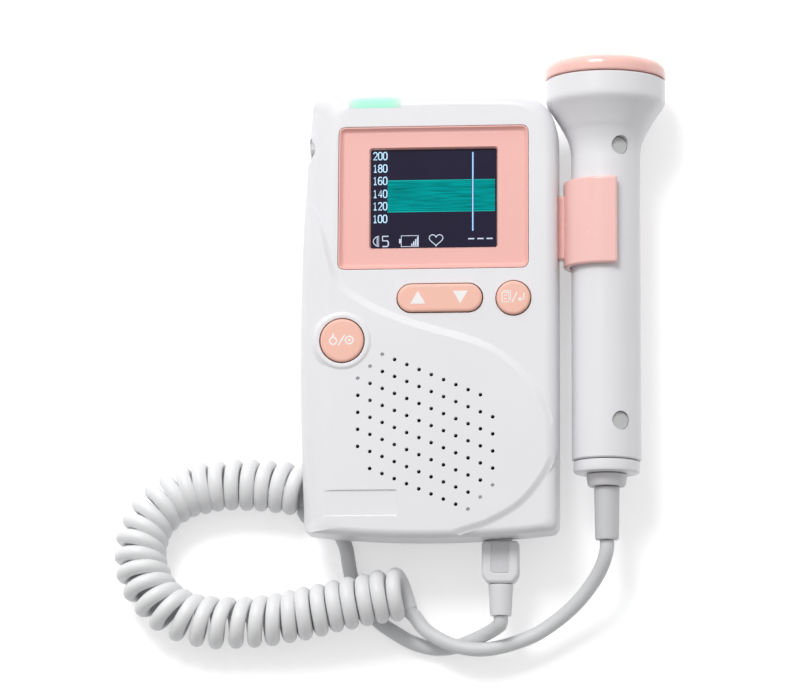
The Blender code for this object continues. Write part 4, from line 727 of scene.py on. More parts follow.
def bezelOutline(grow, steps=8):
    corners = [Vector(corner) for corner in bezelFlange(grow, grow)]
    radius = max(screen["corner"] + grow, 0.0004)
    outline = []
    for i, here in enumerate(corners):
        before = here + (corners[i - 1] - here).normalized() * radius
        after = here + (corners[(i + 1) % 4] - here).normalized() * radius
        for k in range(steps + 1):
            t = k / steps
            outline.append(tuple(before * (1 - t) ** 2 + here * 2 * t * (1 - t) + after * t ** 2))
    return outline


grille = {
    "x": -0.02177,
    "y": -0.01130,
    "columnPitch": 0.003769,
    "rowPitch": 0.005260,
    "drop": 0.001598,
    "radius": 0.00060,
    "dimple": 0.0011,
    "skipped": [2, 1, 0, 0, 0, 0, 0, 0, 0, 0, 0, 1],
    "counts": [5, 7, 8, 8, 8, 8, 8, 8, 8, 8, 7, 5],
}


def grilleRods():
    # the speaker holes; the first ones at the upper left and the last ones at the lower right are dimples
    rods = []
    for column, (first, count) in enumerate(zip(grille["skipped"], grille["counts"])):
        for row in range(first, first + count):
            x = grille["x"] + grille["columnPitch"] * column
            y = grille["y"] - grille["drop"] * (column - 1) - grille["rowPitch"] * row
            dimple = (column < 3 and row == first) or (column > 8 and row == first + count - 1)
            low = case["raised"] - grille["dimple"] if dimple else case["ceiling"] - case["over"]
            high = case["raised"] + 2 * case["over"]
            rods.append(rodBetween("hole", (x, y, low), (x, y, high), grille["radius"], 16))
    return joined("grilleHoles", rods)


def powerCollar():
    # the low rim round the power key, rounded at its edge
    centre, _, radius = keys["power"]
    width, rounding, height, drop = keys["collar"]
    outer, crown, low = radius + keys["gap"] + width, case["raised"] + height, case["ceiling"] + case["gap"]
    rim = [(outer - rounding * (1 - k / 8), crown - drop * eased(k / 8)) for k in range(9)]
    collar = turnedOnZ("powerCollar", [(0, crown), *rim, (outer, low), (0, low)])
    collar.data.transform(Matrix.Translation((*centre, 0)))
    return collar


def makeFrontShell():
    split, ceiling, face, raised = case["split"], case["ceiling"], case["face"], case["raised"]
    gap, over, wall, spots = case["gap"], case["over"], case["wall"], case["screws"]
    shell = caseForm("frontShell", 0, split, raised, case["frontRound"])
    cut(shell, sweepCutter())
    cut(shell, powerCollar(), "UNION")
    cut(shell, caseForm("frontCavity", wall, split - over, ceiling, case["frontRound"], 6))
    cut(shell, uprights("bosses", spots, split + gap, ceiling + gap, case["bossRadius"], 24), "UNION")

    pocketLow = keys["flangeFoot"] - 0.0006 - wall
    cut(shell, plate("bezelPocket", bezelFlange(screen["flange"] + gap, gap), pocketLow, ceiling))
    centre, _, radius = keys["power"]
    cut(shell, plate("powerPocket", roundOutline(centre, radius + keys["flange"] + gap), pocketLow, ceiling))
    opening = [
        (0.00012, ceiling - over), (0.00012, face - 0.0003), (0.00022, face - 0.0001),
        (0.00045, face + 0.00002),
        (0.00045, raised + over),
    ]
    cut(shell, loftThrough("bezelOpening", [ringAt(bezelOutline(grow), z) for grow, z in opening]))
    for key, top in (("rocker", face), ("menu", face), ("power", raised + keys["collar"][2])):
        steps = [(grow, top + rise) for grow, rise in keys["opening"]]
        steps = [(steps[0][0], ceiling - over), *steps, (steps[-1][0], raised + over)]
        cut(shell, loftThrough("keyOpening", [ringAt(keyOutline(*keys[key], grow), z) for grow, z in steps]))

    cut(shell, joined("slots", [boxBetween("slot", *case[name]) for name in ("pipe", "neck", "usb")]))
    y, z = case["jack"]
    x = caseSides(dict.fromkeys(case["backRound"], 0))["left"](y)
    for name, start, sides in (("jackRecess", x - over, 48), ("jackHole", x, 40)):
        depth, radius = case[name]
        cut(shell, rodBetween(name, (start, y, z), (x + depth, y, z), radius, sides))
    cut(shell, uprights("pilots", spots, split - over, split + case["pilotDepth"], case["pilotRadius"], 16))
    cut(shell, grilleRods())
    low, high = case["recess"]
    levels = [(0, 0.0003, low[2]), (0.0009, 0.0006, raised), (0.0010, 0.0007, high[2])]
    cut(shell, rectLoft("recess", low, high, levels, 4))
    finished(shell, "case", caseWhite, "front_shell", angle=32)
    print("front shell made:", len(shell.data.polygons), "faces")


makeFrontShell()


batteryBox = {
    "halfWidth": 0.0290,
    "foot": -0.0280,
    "top": 0.0440,
    "corner": 0.0060,
    "rounding": 0.0015,
    "bayHalfWidth": 0.0153,
    "bayFoot": -0.0228,
    "bayTop": 0.0342,
    "bayWall": 0.0012,
    "boardFoot": 0.0172,
    "doorHalfWidth": 0.0171,
    "doorTop": 0.0020,
    "doorLap": 0.0016,
    "lipTop": 0.0057,
    "columnRadius": 0.0036,
    "headRadius": 0.0025,
    "headFloor": 0.0092,
    "shankRadius": 0.0011,
    "seamLip": [(-0.0006, -0.0030), (-0.0006, -0.0006), (0.00008, -0.0005), (0.00008, 0.0005)],
    "seamHole": [(0.0009, -0.004), (0.0009, 0.002)],
}


def seamForm(name):
    flat = dict.fromkeys(case["backRound"], 0)
    rings = []
    for inset, rise in batteryBox[name]:
        insets = dict.fromkeys(case["backRound"], case["wall"] + inset)
        outline = caseOutline(insets, case["outerCorners"], flat)
        rings.append([(x, y, case["split"] + rise) for x, y, _ in outline])
    return loftThrough(name, rings)


def makeBackShell():
    gap, over, wall, tray, spots = case["gap"], case["over"], case["wall"], case["tray"], case["screws"]
    box = batteryBox
    rim, boxFoot, doorTop = case["split"] - gap / 6, box["foot"], box["doorTop"]
    shell = caseForm("backShell", 0, rim, tray, case["backRound"], 8)
    levels = [(0, box["corner"], tray + wall)]
    for k in range(7):
        turn = math.pi / 2 * k / 6
        inward, drop = box["rounding"] * (1 - math.cos(turn)), box["rounding"] * (1 - math.sin(turn))
        levels.append((-2 * inward, box["corner"] - inward, drop))
    corners = (-box["halfWidth"], boxFoot), (box["halfWidth"], box["top"])
    cut(shell, rectLoft("batteryBox", *corners, levels, 10), "UNION")
    cut(shell, caseForm("backCavity", wall, rim + over, tray + wall, case["backRound"], 5))
    lip = seamForm("seamLip")
    cut(lip, seamForm("seamHole"))
    cut(shell, lip, "UNION")
    cut(shell, uprights("columns", spots, tray + wall / 2, rim - gap, box["columnRadius"], 24), "UNION")

    bay, foot, top, bayWall = box["bayHalfWidth"], box["bayFoot"], box["bayTop"], box["bayWall"]
    outer, lap, half = bay + bayWall, box["doorLap"], box["doorHalfWidth"] + gap
    walls = (-outer, foot - bayWall, tray / 2), (outer, top + bayWall, box["boardFoot"] - gap)
    cut(shell, boxBetween("bayWalls", *walls), "UNION")
    hollows = [
        ((-bay, foot, doorTop - gap), (bay, top, box["boardFoot"])),
        ((-half, boxFoot - over, -over), (half, top + lap + gap, doorTop)),
        ((-half, boxFoot - over, -over), (half, boxFoot + 0.0016, box["lipTop"])),
    ]
    near, far = bay + 2 * bayWall + lap, box["halfWidth"] - wall
    for low, high in ((-far, -near), (near, far)):
        hollows.append(((low, boxFoot + wall, wall), (high, box["top"] - box["corner"], tray + wall + gap)))
    for corners in hollows:
        cut(shell, boxBetween("hollow", *corners))
    cut(shell, uprights("counterbores", spots, tray - over, box["headFloor"], box["headRadius"], 32))
    cut(shell, uprights("screwHoles", spots, box["headFloor"] - over, case["split"], box["shankRadius"], 20))
    cut(shell, boxBetween("slot", *case["usb"]))
    finished(shell, "case", caseWhite, "back_shell", angle=32)


def makeLightPipe():
    low, high = case["pipe"]
    pipe = boxBetween("lightPipe", [a + 0.00002 for a in low], high)
    cut(pipe, caseForm("pipeForm", 0.00004, case["split"], case["face"], case["frontRound"]), "INTERSECT")
    finished(pipe, "case", mintPipe, "light_pipe", angle=32)


makeBackShell()
makeLightPipe()
finished(mergedCopy("battery_door", "batteryDoor"), "door", caseWhite, "battery_door", angle=32)
print("back shell, light pipe and door made")


# Marks: outlines, solid shapes and plain numbers

def lineMark(name, points, width, closed=False, flat=0.12):
    # a thin line that lies on a surface
    obj = tubeAlong(name, [(x, y, 0) for x, y in points], width, 1, closed)
    obj.data.transform(Matrix.Diagonal((1, 1, flat, 1)))
    return obj


def solidMark(name, outline, height=0.00004):
    return plate(name, outline, 0, height)


def barMark(name, left, foot, right, top, height=0.00004):
    return solidMark(name, [(left, foot), (right, foot), (right, top), (left, top)], height)


digitStrokes = {
    "0": [[(0.25, 0), (0.75, 0), (1, 0.2), (1, 0.8), (0.75, 1), (0.25, 1), (0, 0.8), (0, 0.2), (0.25, 0)]],
    "1": [[(0.15, 0.78), (0.5, 1), (0.5, 0)], [(0.12, 0), (0.88, 0)]],
    "2": [[(0, 0.78), (0.25, 1), (0.75, 1), (1, 0.78), (1, 0.62), (0, 0), (1, 0)]],
    "4": [[(0.75, 0), (0.75, 1), (0, 0.3), (1, 0.3)]],
    "5": [[(1, 1), (0, 1), (0, 0.56), (0.8, 0.56), (1, 0.42), (1, 0.14), (0.8, 0), (0, 0)]],
    "6": [[(0.9, 0.9), (0.7, 1), (0.3, 1), (0, 0.75), (0, 0.2), (0.25, 0), (0.75, 0), (1, 0.2), (1, 0.38),
           (0.75, 0.56), (0.25, 0.56), (0, 0.4)]],
    "8": [[(0.3, 0.54), (0.06, 0.7), (0.06, 0.86), (0.3, 1), (0.7, 1), (0.94, 0.86), (0.94, 0.7),
        (0.7, 0.54),
           (0.3, 0.54)],
          [(0.3, 0.54), (0, 0.36), (0, 0.16), (0.25, 0), (0.75, 0), (1, 0.16), (1, 0.36), (0.7, 0.54)]],
}


def numberMark(name, text, left, middle, width, height, pitch, line):
    # a number of the display, each figure drawn with thin lines
    marks = []
    for i, figure in enumerate(text):
        for stroke in digitStrokes[figure]:
            points = [(left + pitch * i + width * x, middle + height * (y - 0.5)) for x, y in stroke]
            marks.append(lineMark(name, points, line))
    return joined(name, marks)


def ringPoints(centre, radius, count=24, start=0, stop=360):
    span = math.radians(stop - start)
    closed = count if stop - start >= 360 else count - 1
    turns = [math.radians(start) + span * i / closed for i in range(count)]
    return [(centre[0] + radius * math.cos(turn), centre[1] + radius * math.sin(turn)) for turn in turns]


def laid(name, marks, place, body, look):
    # marks joined to one piece and laid on a surface
    finished(joined(name, marks), body, look, weighted=False, at=Matrix.Translation(place))


# Screen panel, window and display

display = {
    "numbers": ("200", "180", "160", "140", "120", "100"),
    "numberX": -0.0167,
    "numberY": (0.01366, 0.00974, 0.00584, 0.00176, -0.00214, -0.00612),
    "numberWidths": (0.00112, 0.00153),
    "stroke": 0.00034,
    "numberHeight": 0.0023,
    "band": ((-0.0144, -0.0040), (0.0189, 0.0058)),
    "bandEdge": 0.00012,
    "cursorX": 0.01205,
    "cursor": (-0.0102, 0.0145),
    "cursorWidths": (0.00050, 0.00038),
    "line": 0.00026,
    "dashes": ((0.0106, 0.0125), (0.01345, 0.0154), (0.0163, 0.0182)),
    "speaker": [(-0.0171, -0.0148), (-0.0179, -0.0145), (-0.0186, -0.0138), (-0.0188, -0.01315),
        (-0.0186, -0.0125),
                (-0.0179, -0.0118), (-0.0171, -0.0115)],
    "battery": [(-0.0101, -0.0149), (-0.0048, -0.0149), (-0.0048, -0.0115), (-0.0101, -0.0115)],
    "batteryBars": ((-0.0070, -0.0140), (-0.0064, -0.0133), (-0.0058, -0.0126), (-0.0052, -0.0119)),
    "heart": (0.0007, -0.0128, 0.000133, 0.000125),
}


def heartPoints():
    x, y, wide, high = display["heart"]
    points = []
    for k in range(36):
        t = 2 * math.pi * k / 36
        up = 13 * math.cos(t) - 5 * math.cos(2 * t) - 2 * math.cos(3 * t) - math.cos(4 * t)
        points.append((x + 16 * math.sin(t) ** 3 * wide, y + up * high))
    return points


def makeBezel():
    face, floor, slope = case["face"], screen["floor"], screen["slope"]
    bezel = plate("screenBezel", bezelFlange(screen["flange"], 0), screen["windowFoot"], keys["flangeTop"])
    steps = [(0.00004, 0.0247), (0.00004, face - 0.0002), (-0.00006, face - 0.00008)]
    cut(bezel, loftThrough("bezelBody", [ringAt(bezelOutline(grow), z) for grow, z in steps]), "UNION")
    steps = [(slope * (k / 8 - 1) - 0.0003, floor + (face - floor) * (k / 8) ** 1.7) for k in range(9)]
    steps.append((-0.0002, face + 0.0004))
    cut(bezel, loftThrough("bezelRecess", [ringAt(bezelOutline(grow), z) for grow, z in steps]))
    (x, y), (width, length) = screen["lcd"], screen["lcdSize"]
    low, high = (x - width / 2, y - length / 2), (x + width / 2, y + length / 2)
    levels = [(0, 0.0006, 0.0240), (0, 0.0006, floor - 0.0006), (0.0010, 0.0010, floor + 0.0001)]
    cut(bezel, rectLoft("bezelHole", low, high, levels))
    finished(bezel, "case", panelPink, "screen_bezel", angle=40)
    levels = [(-0.0002, 0.0005, screen["windowFoot"]), (-0.0002, 0.0005, screen["windowTop"])]
    finished(rectLoft("lcdWindow", low, high, levels), "case", displayDark, "lcd_window")


def makeDisplay():
    place = Vector((*screen["lcd"], screen["windowTop"]))
    low, high = display["band"]
    edge, x = display["bandEdge"], display["cursorX"]
    foot, head = display["cursor"]
    cursor, glow = display["cursorWidths"]
    width, pitch = display["numberWidths"]
    left = display["numberX"] - pitch - width / 2
    readings = [
        numberMark("number", text, left, y, width, display["numberHeight"], pitch, display["stroke"])
        for text, y in zip(display["numbers"], display["numberY"])
    ]
    readings.append(lineMark("cursor", [(x, foot), (x, head)], cursor, flat=0.4))
    edges = [barMark("bandEdge", low[0], y - edge, high[0], y + edge, 0.00006) for y in (low[1], high[1])]
    line = display["line"]
    symbols = [
        lineMark("speakerMark", display["speaker"], line, closed=True),
        numberMark("levelMark", "5", -0.0159, -0.0132, 0.0018, 0.0032, 0, line * 1.5),
        lineMark("speakerBar", [(-0.01755, -0.0145), (-0.01755, -0.0118)], line),
        lineMark("batteryMark", display["battery"], line, closed=True),
        lineMark("batteryNub", [(-0.0105, -0.0139), (-0.0105, -0.0125)], line * 2),
        *(barMark("batteryBar", left, -0.0147, left + 0.00042, top) for left, top in display["batteryBars"]),
        lineMark("heartMark", heartPoints(), line, closed=True),
        *(lineMark("dash", [(a, -0.0127), (b, -0.0127)], line * 1.5) for a, b in display["dashes"]),
    ]
    for name, marks, look in (
        ("displayBand", [barMark("band", *low, *high)], displayTeal),
        ("displayBandEdges", edges, displayAqua),
        ("displayCursorGlow", [barMark("cursorGlow", x - glow, foot, x + glow, head, 0.00007)], displayDeep),
        ("displayReadings", readings, displayBlue),
        ("displaySymbols", symbols, displayWhite),
    ):
        laid(name, marks, place, "case", look)
    print("screen made")


# Keys

def makeKey(name, body, node, kind, level, stems, hold):
    (x, y), _, half = keys[kind]
    low, top = keys["flangeFoot"], keys["flangeTop"]
    crown = level + keys["proud"]
    rings = [ringAt(keyOutline(*keys[kind], 0), low - 0.0004)]
    rings += [ringAt(keyOutline(*keys[kind], -inward), crown - drop) for inward, drop in keys["crown"]]
    key = loftThrough(name, rings)
    stemLow, stemTop, radius = keys["stem"]
    for side in stems:
        cut(key, rodBetween("stem", (x + side, y, stemLow), (x + side, y, stemTop), radius, 20), "UNION")
    if hold:
        wide, deep = hold, half + keys["flange"]
        cut(key, boxBetween("hold", (x - wide, y - deep, low), (x + wide, y + deep, top)), "UNION")
    else:
        cut(key, plate("keyFlange", roundOutline((x, y), half + keys["flange"]), low, top), "UNION")
    finished(key, body, keyPink, node)
    return Vector((x, y, crown))


def makeKeys():
    place = makeKey(
        "rockerKey", "rocker", "rocker_key", "rocker", case["face"], (-0.0085, 0.0085), keys["hold"],
    )
    marks = [
        solidMark("up", [(-0.0090, -0.0019), (-0.0044, -0.0019), (-0.0067, 0.0021)]),
        solidMark("down", [(0.0041, 0.0020), (0.0064, -0.0020), (0.0087, 0.0020)]),
    ]
    laid("rockerMarks", marks, place, "rocker", markWhite)
    menuPlace = makeKey("menuKey", "menu_key", "menu_button", "menu", case["face"], (0,), 0)
    powerPlace = makeKey("powerKey", "power_key", "power_button", "power", case["raised"], (0,), 0)

    line = 0.00042
    marks = [
        lineMark("lampRing", ringPoints((-0.0027, -0.0002), 0.00108), line, closed=True),
        lineMark("lampStem", [(-0.0027, 0.0010), (-0.0027, 0.0021)], line * 1.3),
        lineMark("slash", [(-0.0011, -0.0016), (0.0009, 0.0017)], line),
        lineMark("lightRing", ringPoints((0.0023, 0.0), 0.00118), line, closed=True),
        solidMark("lightDot", ringPoints((0.0023, 0.0), 0.00042, 16)),
    ]
    laid("powerMarks", marks, powerPlace, "power_key", markWhite)
    line = 0.00036
    page = [(-0.0034, -0.0014), (-0.0013, -0.0014), (-0.0013, 0.0016), (-0.0034, 0.0016)]
    marks = [
        lineMark("page", page, line, closed=True),
        lineMark("pageBack", [(-0.0030, 0.0021), (-0.0008, 0.0021), (-0.0008, -0.0009)], line * 0.8),
        *(lineMark("pageLine", [(-0.0028, y), (-0.0019, y)], line * 0.8) for y in (0.0007, -0.0004)),
        lineMark("slash", [(-0.0004, -0.0016), (0.0012, 0.0017)], line),
        lineMark("returnArm", [(0.0033, 0.0014), (0.0033, -0.0006), (0.0019, -0.0006)], line),
        solidMark("returnHead", [(0.0014, -0.0006), (0.0023, -0.0014), (0.0023, 0.0002)]),
    ]
    laid("menuMarks", marks, menuPlace, "menu_key", markWhite)
    print("keys made")


makeBezel()
makeDisplay()
makeKeys()


# Probe, turned round its own axis

probe = {
    "place": (0.0540, 0, 0.0192),
    "turn": 28,
    "handleRadius": 0.0107,
    "handleEnd": -0.0453,
    "neck": 0.0490,
    "headRadius": 0.0186,
    "headFoot": 0.0668,
    "headTop": 0.0733,
    "wall": 0.0018,
    "flare": [
        (0, 0), (0.004, 0.05), (0.015, 0.11), (0.040, 0.18), (0.075, 0.25), (0.14, 0.335), (0.215, 0.415),
        (0.285, 0.475), (0.355, 0.525), (0.46, 0.607), (0.56, 0.68), (0.76, 0.815), (0.90, 0.90),
        (0.962, 0.948),
        (0.99, 0.99), (0.999, 1.04),
    ],
    "capRadius": 0.0188,
    "capHeight": 0.0060,
    "cap": [(1.0, 0.0), (1.0, 0.36), (0.985, 0.56), (0.935, 0.75), (0.83, 0.87), (0.56, 0.965), (0, 1.0)],
    "screws": (0.0516, -0.0339),
    "pillarRadius": 0.0034,
    "holeRadius": 0.0011,
    "pocketRadius": 0.0029,
    "pocketFloor": 0.0077,
    "collar": [
        (0.0086, 0.0036), (0.0086, -0.0003), (0.0100, -0.0003), (0.0102, -0.0006), (0.0102, -0.0031),
        (0.0100, -0.0036),
        (0.0095, -0.0039), (0.00315, -0.0039), (0.00315, 0.0036),
    ],
    "gland": [
        (0, 0.0036), (0.0028, 0.0036), (0.0028, -0.0042), (0.0062, -0.0042), (0.0063, -0.0046),
        (0.0060, -0.0062),
        (0.0059, -0.0072), (0.0054, -0.0078), (0, -0.0078),
    ],
    "sleeve": [
        (0, -0.0081), (0.0038, -0.0081), (0.0039, -0.0088), (0.00366, -0.0236), (0.0034, -0.0242),
        (0, -0.0242),
    ],
    "cover": [
        (0, -0.00985), (0.0021, -0.00983), (0.0026, -0.0097), (0.00282, -0.0094), (0.00282, -0.0085),
        (0, -0.0085),
    ],
}
ontoY = Matrix.Rotation(-math.pi / 2, 4, "X")
aboutY = Matrix.Rotation(math.radians(probe["turn"]), 4, "Y")
probeFrame = Matrix.Translation(probe["place"]) @ aboutY @ ontoY


def softened(points, perSpan):
    # more points on a smooth curve through a profile
    knots = [Vector((*point, 0)) for point in points]
    return [(max(0, p.x), p.y) for p in fineCurve(knots, through, perSpan)]


def makeProbeShells():
    slim, wide, wall = probe["handleRadius"], probe["headRadius"], probe["wall"]
    end, neck, head = probe["handleEnd"], probe["neck"], probe["headTop"]
    curve = [(slim + (wide - slim) * r, neck + (probe["headFoot"] - neck) * y) for r, y in probe["flare"]]
    profile = [
        (slim - 0.0004, end), (slim, end + 0.0004), *softened(curve, 3),
        (wide, probe["headFoot"] + 0.0020), (wide, head - 0.0005), (wide - 0.0002, head - 0.0002),
        (wide - 0.0006, head),
        (wide - wall, head), (wide - wall, probe["headFoot"]),
        *((radius - wall, y - wall / 2) for radius, y in reversed(curve[::3])),
        (slim - wall, end),
    ]
    for name, node, side, deep in (
        ("probeShellFront", "probe_shell_front", -1, 0.0107),
        ("probeShellBack", "probe_shell_back", 1, 0.0088),
    ):
        half = turnedOnZ(name, profile, 96, closed=True)
        near, far = sorted((side * 0.00003, -side * 0.03))
        cut(half, boxBetween("otherSide", (-0.03, near, -0.06), (0.03, far, 0.09)))
        for z in probe["screws"]:
            ends = (0, side * 0.0098, z), (0, side * 0.00015, z)
            cut(half, rodBetween("pillar", *ends, probe["pillarRadius"]), "UNION")
            if side < 0:
                ends = (0, -probe["pocketFloor"], z), (0, -wide, z)
                cut(half, rodBetween("pocket", *ends, probe["pocketRadius"], 48))
            ends = (0, side * -0.001, z), (0, side * deep, z)
            cut(half, rodBetween("screwHole", *ends, probe["holeRadius"], 20))
        finished(half, "probe", probeWhite, node, angle=30, at=probeFrame)


def makeProbe():
    makeProbeShells()
    wall, radius, end = probe["wall"], probe["capRadius"], probe["handleEnd"]
    base, height, spigot = probe["headTop"] + 0.0003, probe["capHeight"], probe["headRadius"] - wall - 0.0003
    curve = [(radius * r, base + height * h) for r, h in probe["cap"]]
    cap = turnedOnZ("probeFace", [
        *softened(curve[1:], 5)[::-1],
        (radius, base + 0.0006), (radius - 0.0002, base + 0.0002), (radius - 0.0006, base),
        (spigot, base), (spigot, base - 0.0025), (spigot - wall, base - 0.0025),
        (spigot - wall, base + height / 2),
        (0, base + height / 2),
    ], 96)
    finished(cap, "probe", capPink, "probe_face", at=probeFrame)
    for name, node, part, look, steps in (
        ("probeEndCollar", "probe_end_collar", "collar", probeWhite, 96),
        ("cordGland", "cord_gland", "gland", glandGrey, 64),
        ("strainRelief", "strain_relief", "sleeve", sleeveGrey, 64),
    ):
        profile = [(r, end + h) for r, h in probe[part]]
        finished(turnedOnZ(name, profile, steps, part == "collar"), "probe", look, node, at=probeFrame)
    for i, z in enumerate(probe["screws"], 1):
        cover = turnedOnZ("cover", probe["cover"], 48)
        cover.name = f"probeScrewCover{i}"
        place = probeFrame @ Matrix.Translation((0, 0, z)) @ ontoY
        finished(cover, "probe", coverGrey, f"probe_screw_cover_{i}", at=place)
    print("probe made")


makeProbe()

clip = {
    "inner": 0.0110,
    "wall": 0.0021,
    "reach": 0.0041,
    "foot": 0.0144,
    "length": 0.0270,
    "rounding": 0.0008,
    "neckRounding": 0.0006,
    "neck": ((0.0363, 0.0173, 0.0167), (0.0419, 0.0371, 0.0217)),
    "pad": ((0.0355, 0.0157, 0.0151), (0.0370, 0.0387, 0.0233)),
}


def makeClip():
    x, _, z = probe["place"]
    inner, outer, reach = clip["inner"], clip["inner"] + clip["wall"], clip["reach"]
    outline = [(x + reach, z + outer), *ringPoints((x, z), outer, 49, 90, 270), (x + reach, z - outer)]
    outline += [(x + reach, z - inner), *ringPoints((x, z), inner, 49, 270, 90), (x + reach, z + inner)]
    foot, top = clip["foot"], clip["foot"] + clip["length"]
    obj = loftThrough("probeClip", [[(a, y, b) for a, b in outline] for y in (foot, top)])
    rounded(obj, clip["rounding"], 4, 40)
    for name in ("neck", "pad"):
        block = boxBetween(name, *clip[name])
        rounded(block, clip["neckRounding"], 3, 40)
        cut(obj, block, "UNION")
    finished(obj, "case", clipPink, "probe_clip")
    print("clip made")


makeClip()


# Plug

plug = {
    "x": 0.0212,
    "z": 0.0155,
    "top": -0.06943,
    "foot": -0.08243,
    "halfWidth": 0.0057,
    "endHalfWidth": 0.0040,
    "halfThick": 0.0035,
    "chamfer": 0.0030,
    "rounding": 0.0011,
    "panel": ((0.0186, -0.0793), (0.0238, -0.0650)),
    "panelDepth": 0.0004,
    "relief": [(0.0038, 0.0003), (0.0038, 0.0012), (0.0036, 0.0040), (0.00335, 0.0090), (0.0032, 0.0098)],
}


def makePlug():
    x, z, top, foot = plug["x"], plug["z"], plug["top"], plug["foot"]
    half, end, thick = plug["halfWidth"], plug["endHalfWidth"], plug["halfThick"]
    right = [(end, foot), (half - 0.0004, foot + 0.0018), (half, foot + plug["chamfer"])]
    outline = [(x + half, top), (x - half, top)]
    outline += [(x - a, y) for a, y in right[::-1]] + [(x + a, y) for a, y in right]
    body = plate("plugBody", outline, z - thick, z + thick)
    rounded(body, plug["rounding"], 5, 32)
    low, high = plug["panel"]
    face, floor = z + thick, z + thick - plug["panelDepth"]
    levels = [(0, 0.0006, floor), (0.0010, 0.0009, face), (0.0014, 0.0010, face + 0.001)]
    cut(body, rectLoft("panelSeat", low, high, levels))
    finished(body, "plug", plugWhite, "plug_body")
    low, high = (low[0] + 0.0001, low[1]), (high[0] - 0.0001, top - 0.0004)
    levels = [(0, 0.0005, floor + 0.00002), (-0.0002, 0.0004, floor + 0.00022)]
    finished(rectLoft("plugPanel", low, high, levels), "plug", panelGrey)
    profile = plug["relief"]
    relief = turnedOnZ("plugRelief", [(0, profile[0][1]), *profile, (0, profile[-1][1])], 48)
    place = Matrix.Translation((x, foot, z)) @ Matrix.Rotation(math.pi / 2, 4, "X")
    finished(relief, "plug", plugWhite, "plug_relief", at=place)
    print("plug made")


makePlug()


# Lead: from the probe to the curly stretch, and from there to the plug

lead = {
    "cordDiameter": 0.00445,
    "coilDiameter": 0.00462,
    "cordSides": 20,
    "coilRadius": 0.0059,
    "startTrim": 0.0019,
    "pitch": [(0, 0.00478), (0.22, 0.00480), (0.34, 0.00560), (0.45, 0.00540), (0.55, 0.00455),
        (0.75, 0.00465),
              (0.85, 0.00490), (1, 0.00480)],
    "lean": [(0, 0.02), (0.2, -0.02), (0.4, 0.08), (0.55, 0.34), (0.7, 0.24), (0.82, 0.02), (1, -0.08)],
    "slant": [(0, -0.14), (0.15, -0.10), (0.32, 0.06), (0.6, 0.04), (0.78, -0.16), (0.88, -0.10),
        (1, -0.04)],
    "unevenness": 0.03,
    "pointsPerCurl": 26,
    "pointStep": 0.0016,
    "probeEnd": (0.0540, -0.0698, 0.0192),
    "plugEnd": (0.0212, -0.09253, 0.0155),
    "coilRoute": [
        (-0.0070, -0.0844, 0.0130), (-0.0200, -0.0866, 0.0132), (-0.0315, -0.0889, 0.0124),
        (-0.0430, -0.0914, 0.0104),
        (-0.0545, -0.0932, 0.0086), (-0.0730, -0.0935, 0.0082), (-0.0837, -0.0891, 0.0088),
        (-0.0908, -0.0801, 0.0091),
        (-0.0923, -0.0689, 0.0091), (-0.0877, -0.0585, 0.0089), (-0.0782, -0.0517, 0.0084),
        (-0.0664, -0.0500, 0.0082),
        (-0.0561, -0.0501, 0.0082), (-0.0480, -0.0509, 0.0082), (-0.0408, -0.0522, 0.0082),
    ],
    "probeRoute": [
        (0.0534, -0.0745, 0.0186), (0.0524, -0.0772, 0.0175), (0.0504, -0.0807, 0.0156),
        (0.0467, -0.0855, 0.0130),
        (0.0424, -0.0898, 0.0110), (0.0373, -0.0938, 0.0096), (0.0316, -0.0974, 0.0090),
        (0.0256, -0.0998, 0.0090),
        (0.0198, -0.1014, 0.0092), (0.0142, -0.1020, 0.0094), (0.0082, -0.1012, 0.0092),
        (0.0022, -0.0989, 0.0085),
        (-0.0030, -0.0954, 0.0077), (-0.0060, -0.0915, 0.0073),
    ],
    "plugRoute": [
        (-0.0388, -0.0606, 0.0024), (-0.0358, -0.0626, 0.0024), (-0.0326, -0.0636, 0.0024),
        (-0.0299, -0.0656, 0.0024), (-0.0284, -0.0684, 0.0024), (-0.0276, -0.0712, 0.0024),
        (-0.0270, -0.0752, 0.0024), (-0.0257, -0.0806, 0.0024), (-0.0227, -0.0866, 0.0024),
        (-0.0178, -0.0924, 0.0024), (-0.0124, -0.0962, 0.0024), (-0.0070, -0.0992, 0.0024),
        (-0.0004, -0.1010, 0.0025), (0.0062, -0.1006, 0.0034), (0.0112, -0.0990, 0.0056),
        (0.0154, -0.0975, 0.0085), (0.0185, -0.0962, 0.0115), (0.0205, -0.0951, 0.0141),
    ],
}


def between(pairs, share):
    # a value read off a line through pairs of share and value
    for (a, low), (b, high) in zip(pairs, pairs[1:]):
        if share <= b:
            return low + (high - low) * eased(max(0, (share - a) / (b - a)))
    return pairs[-1][1]


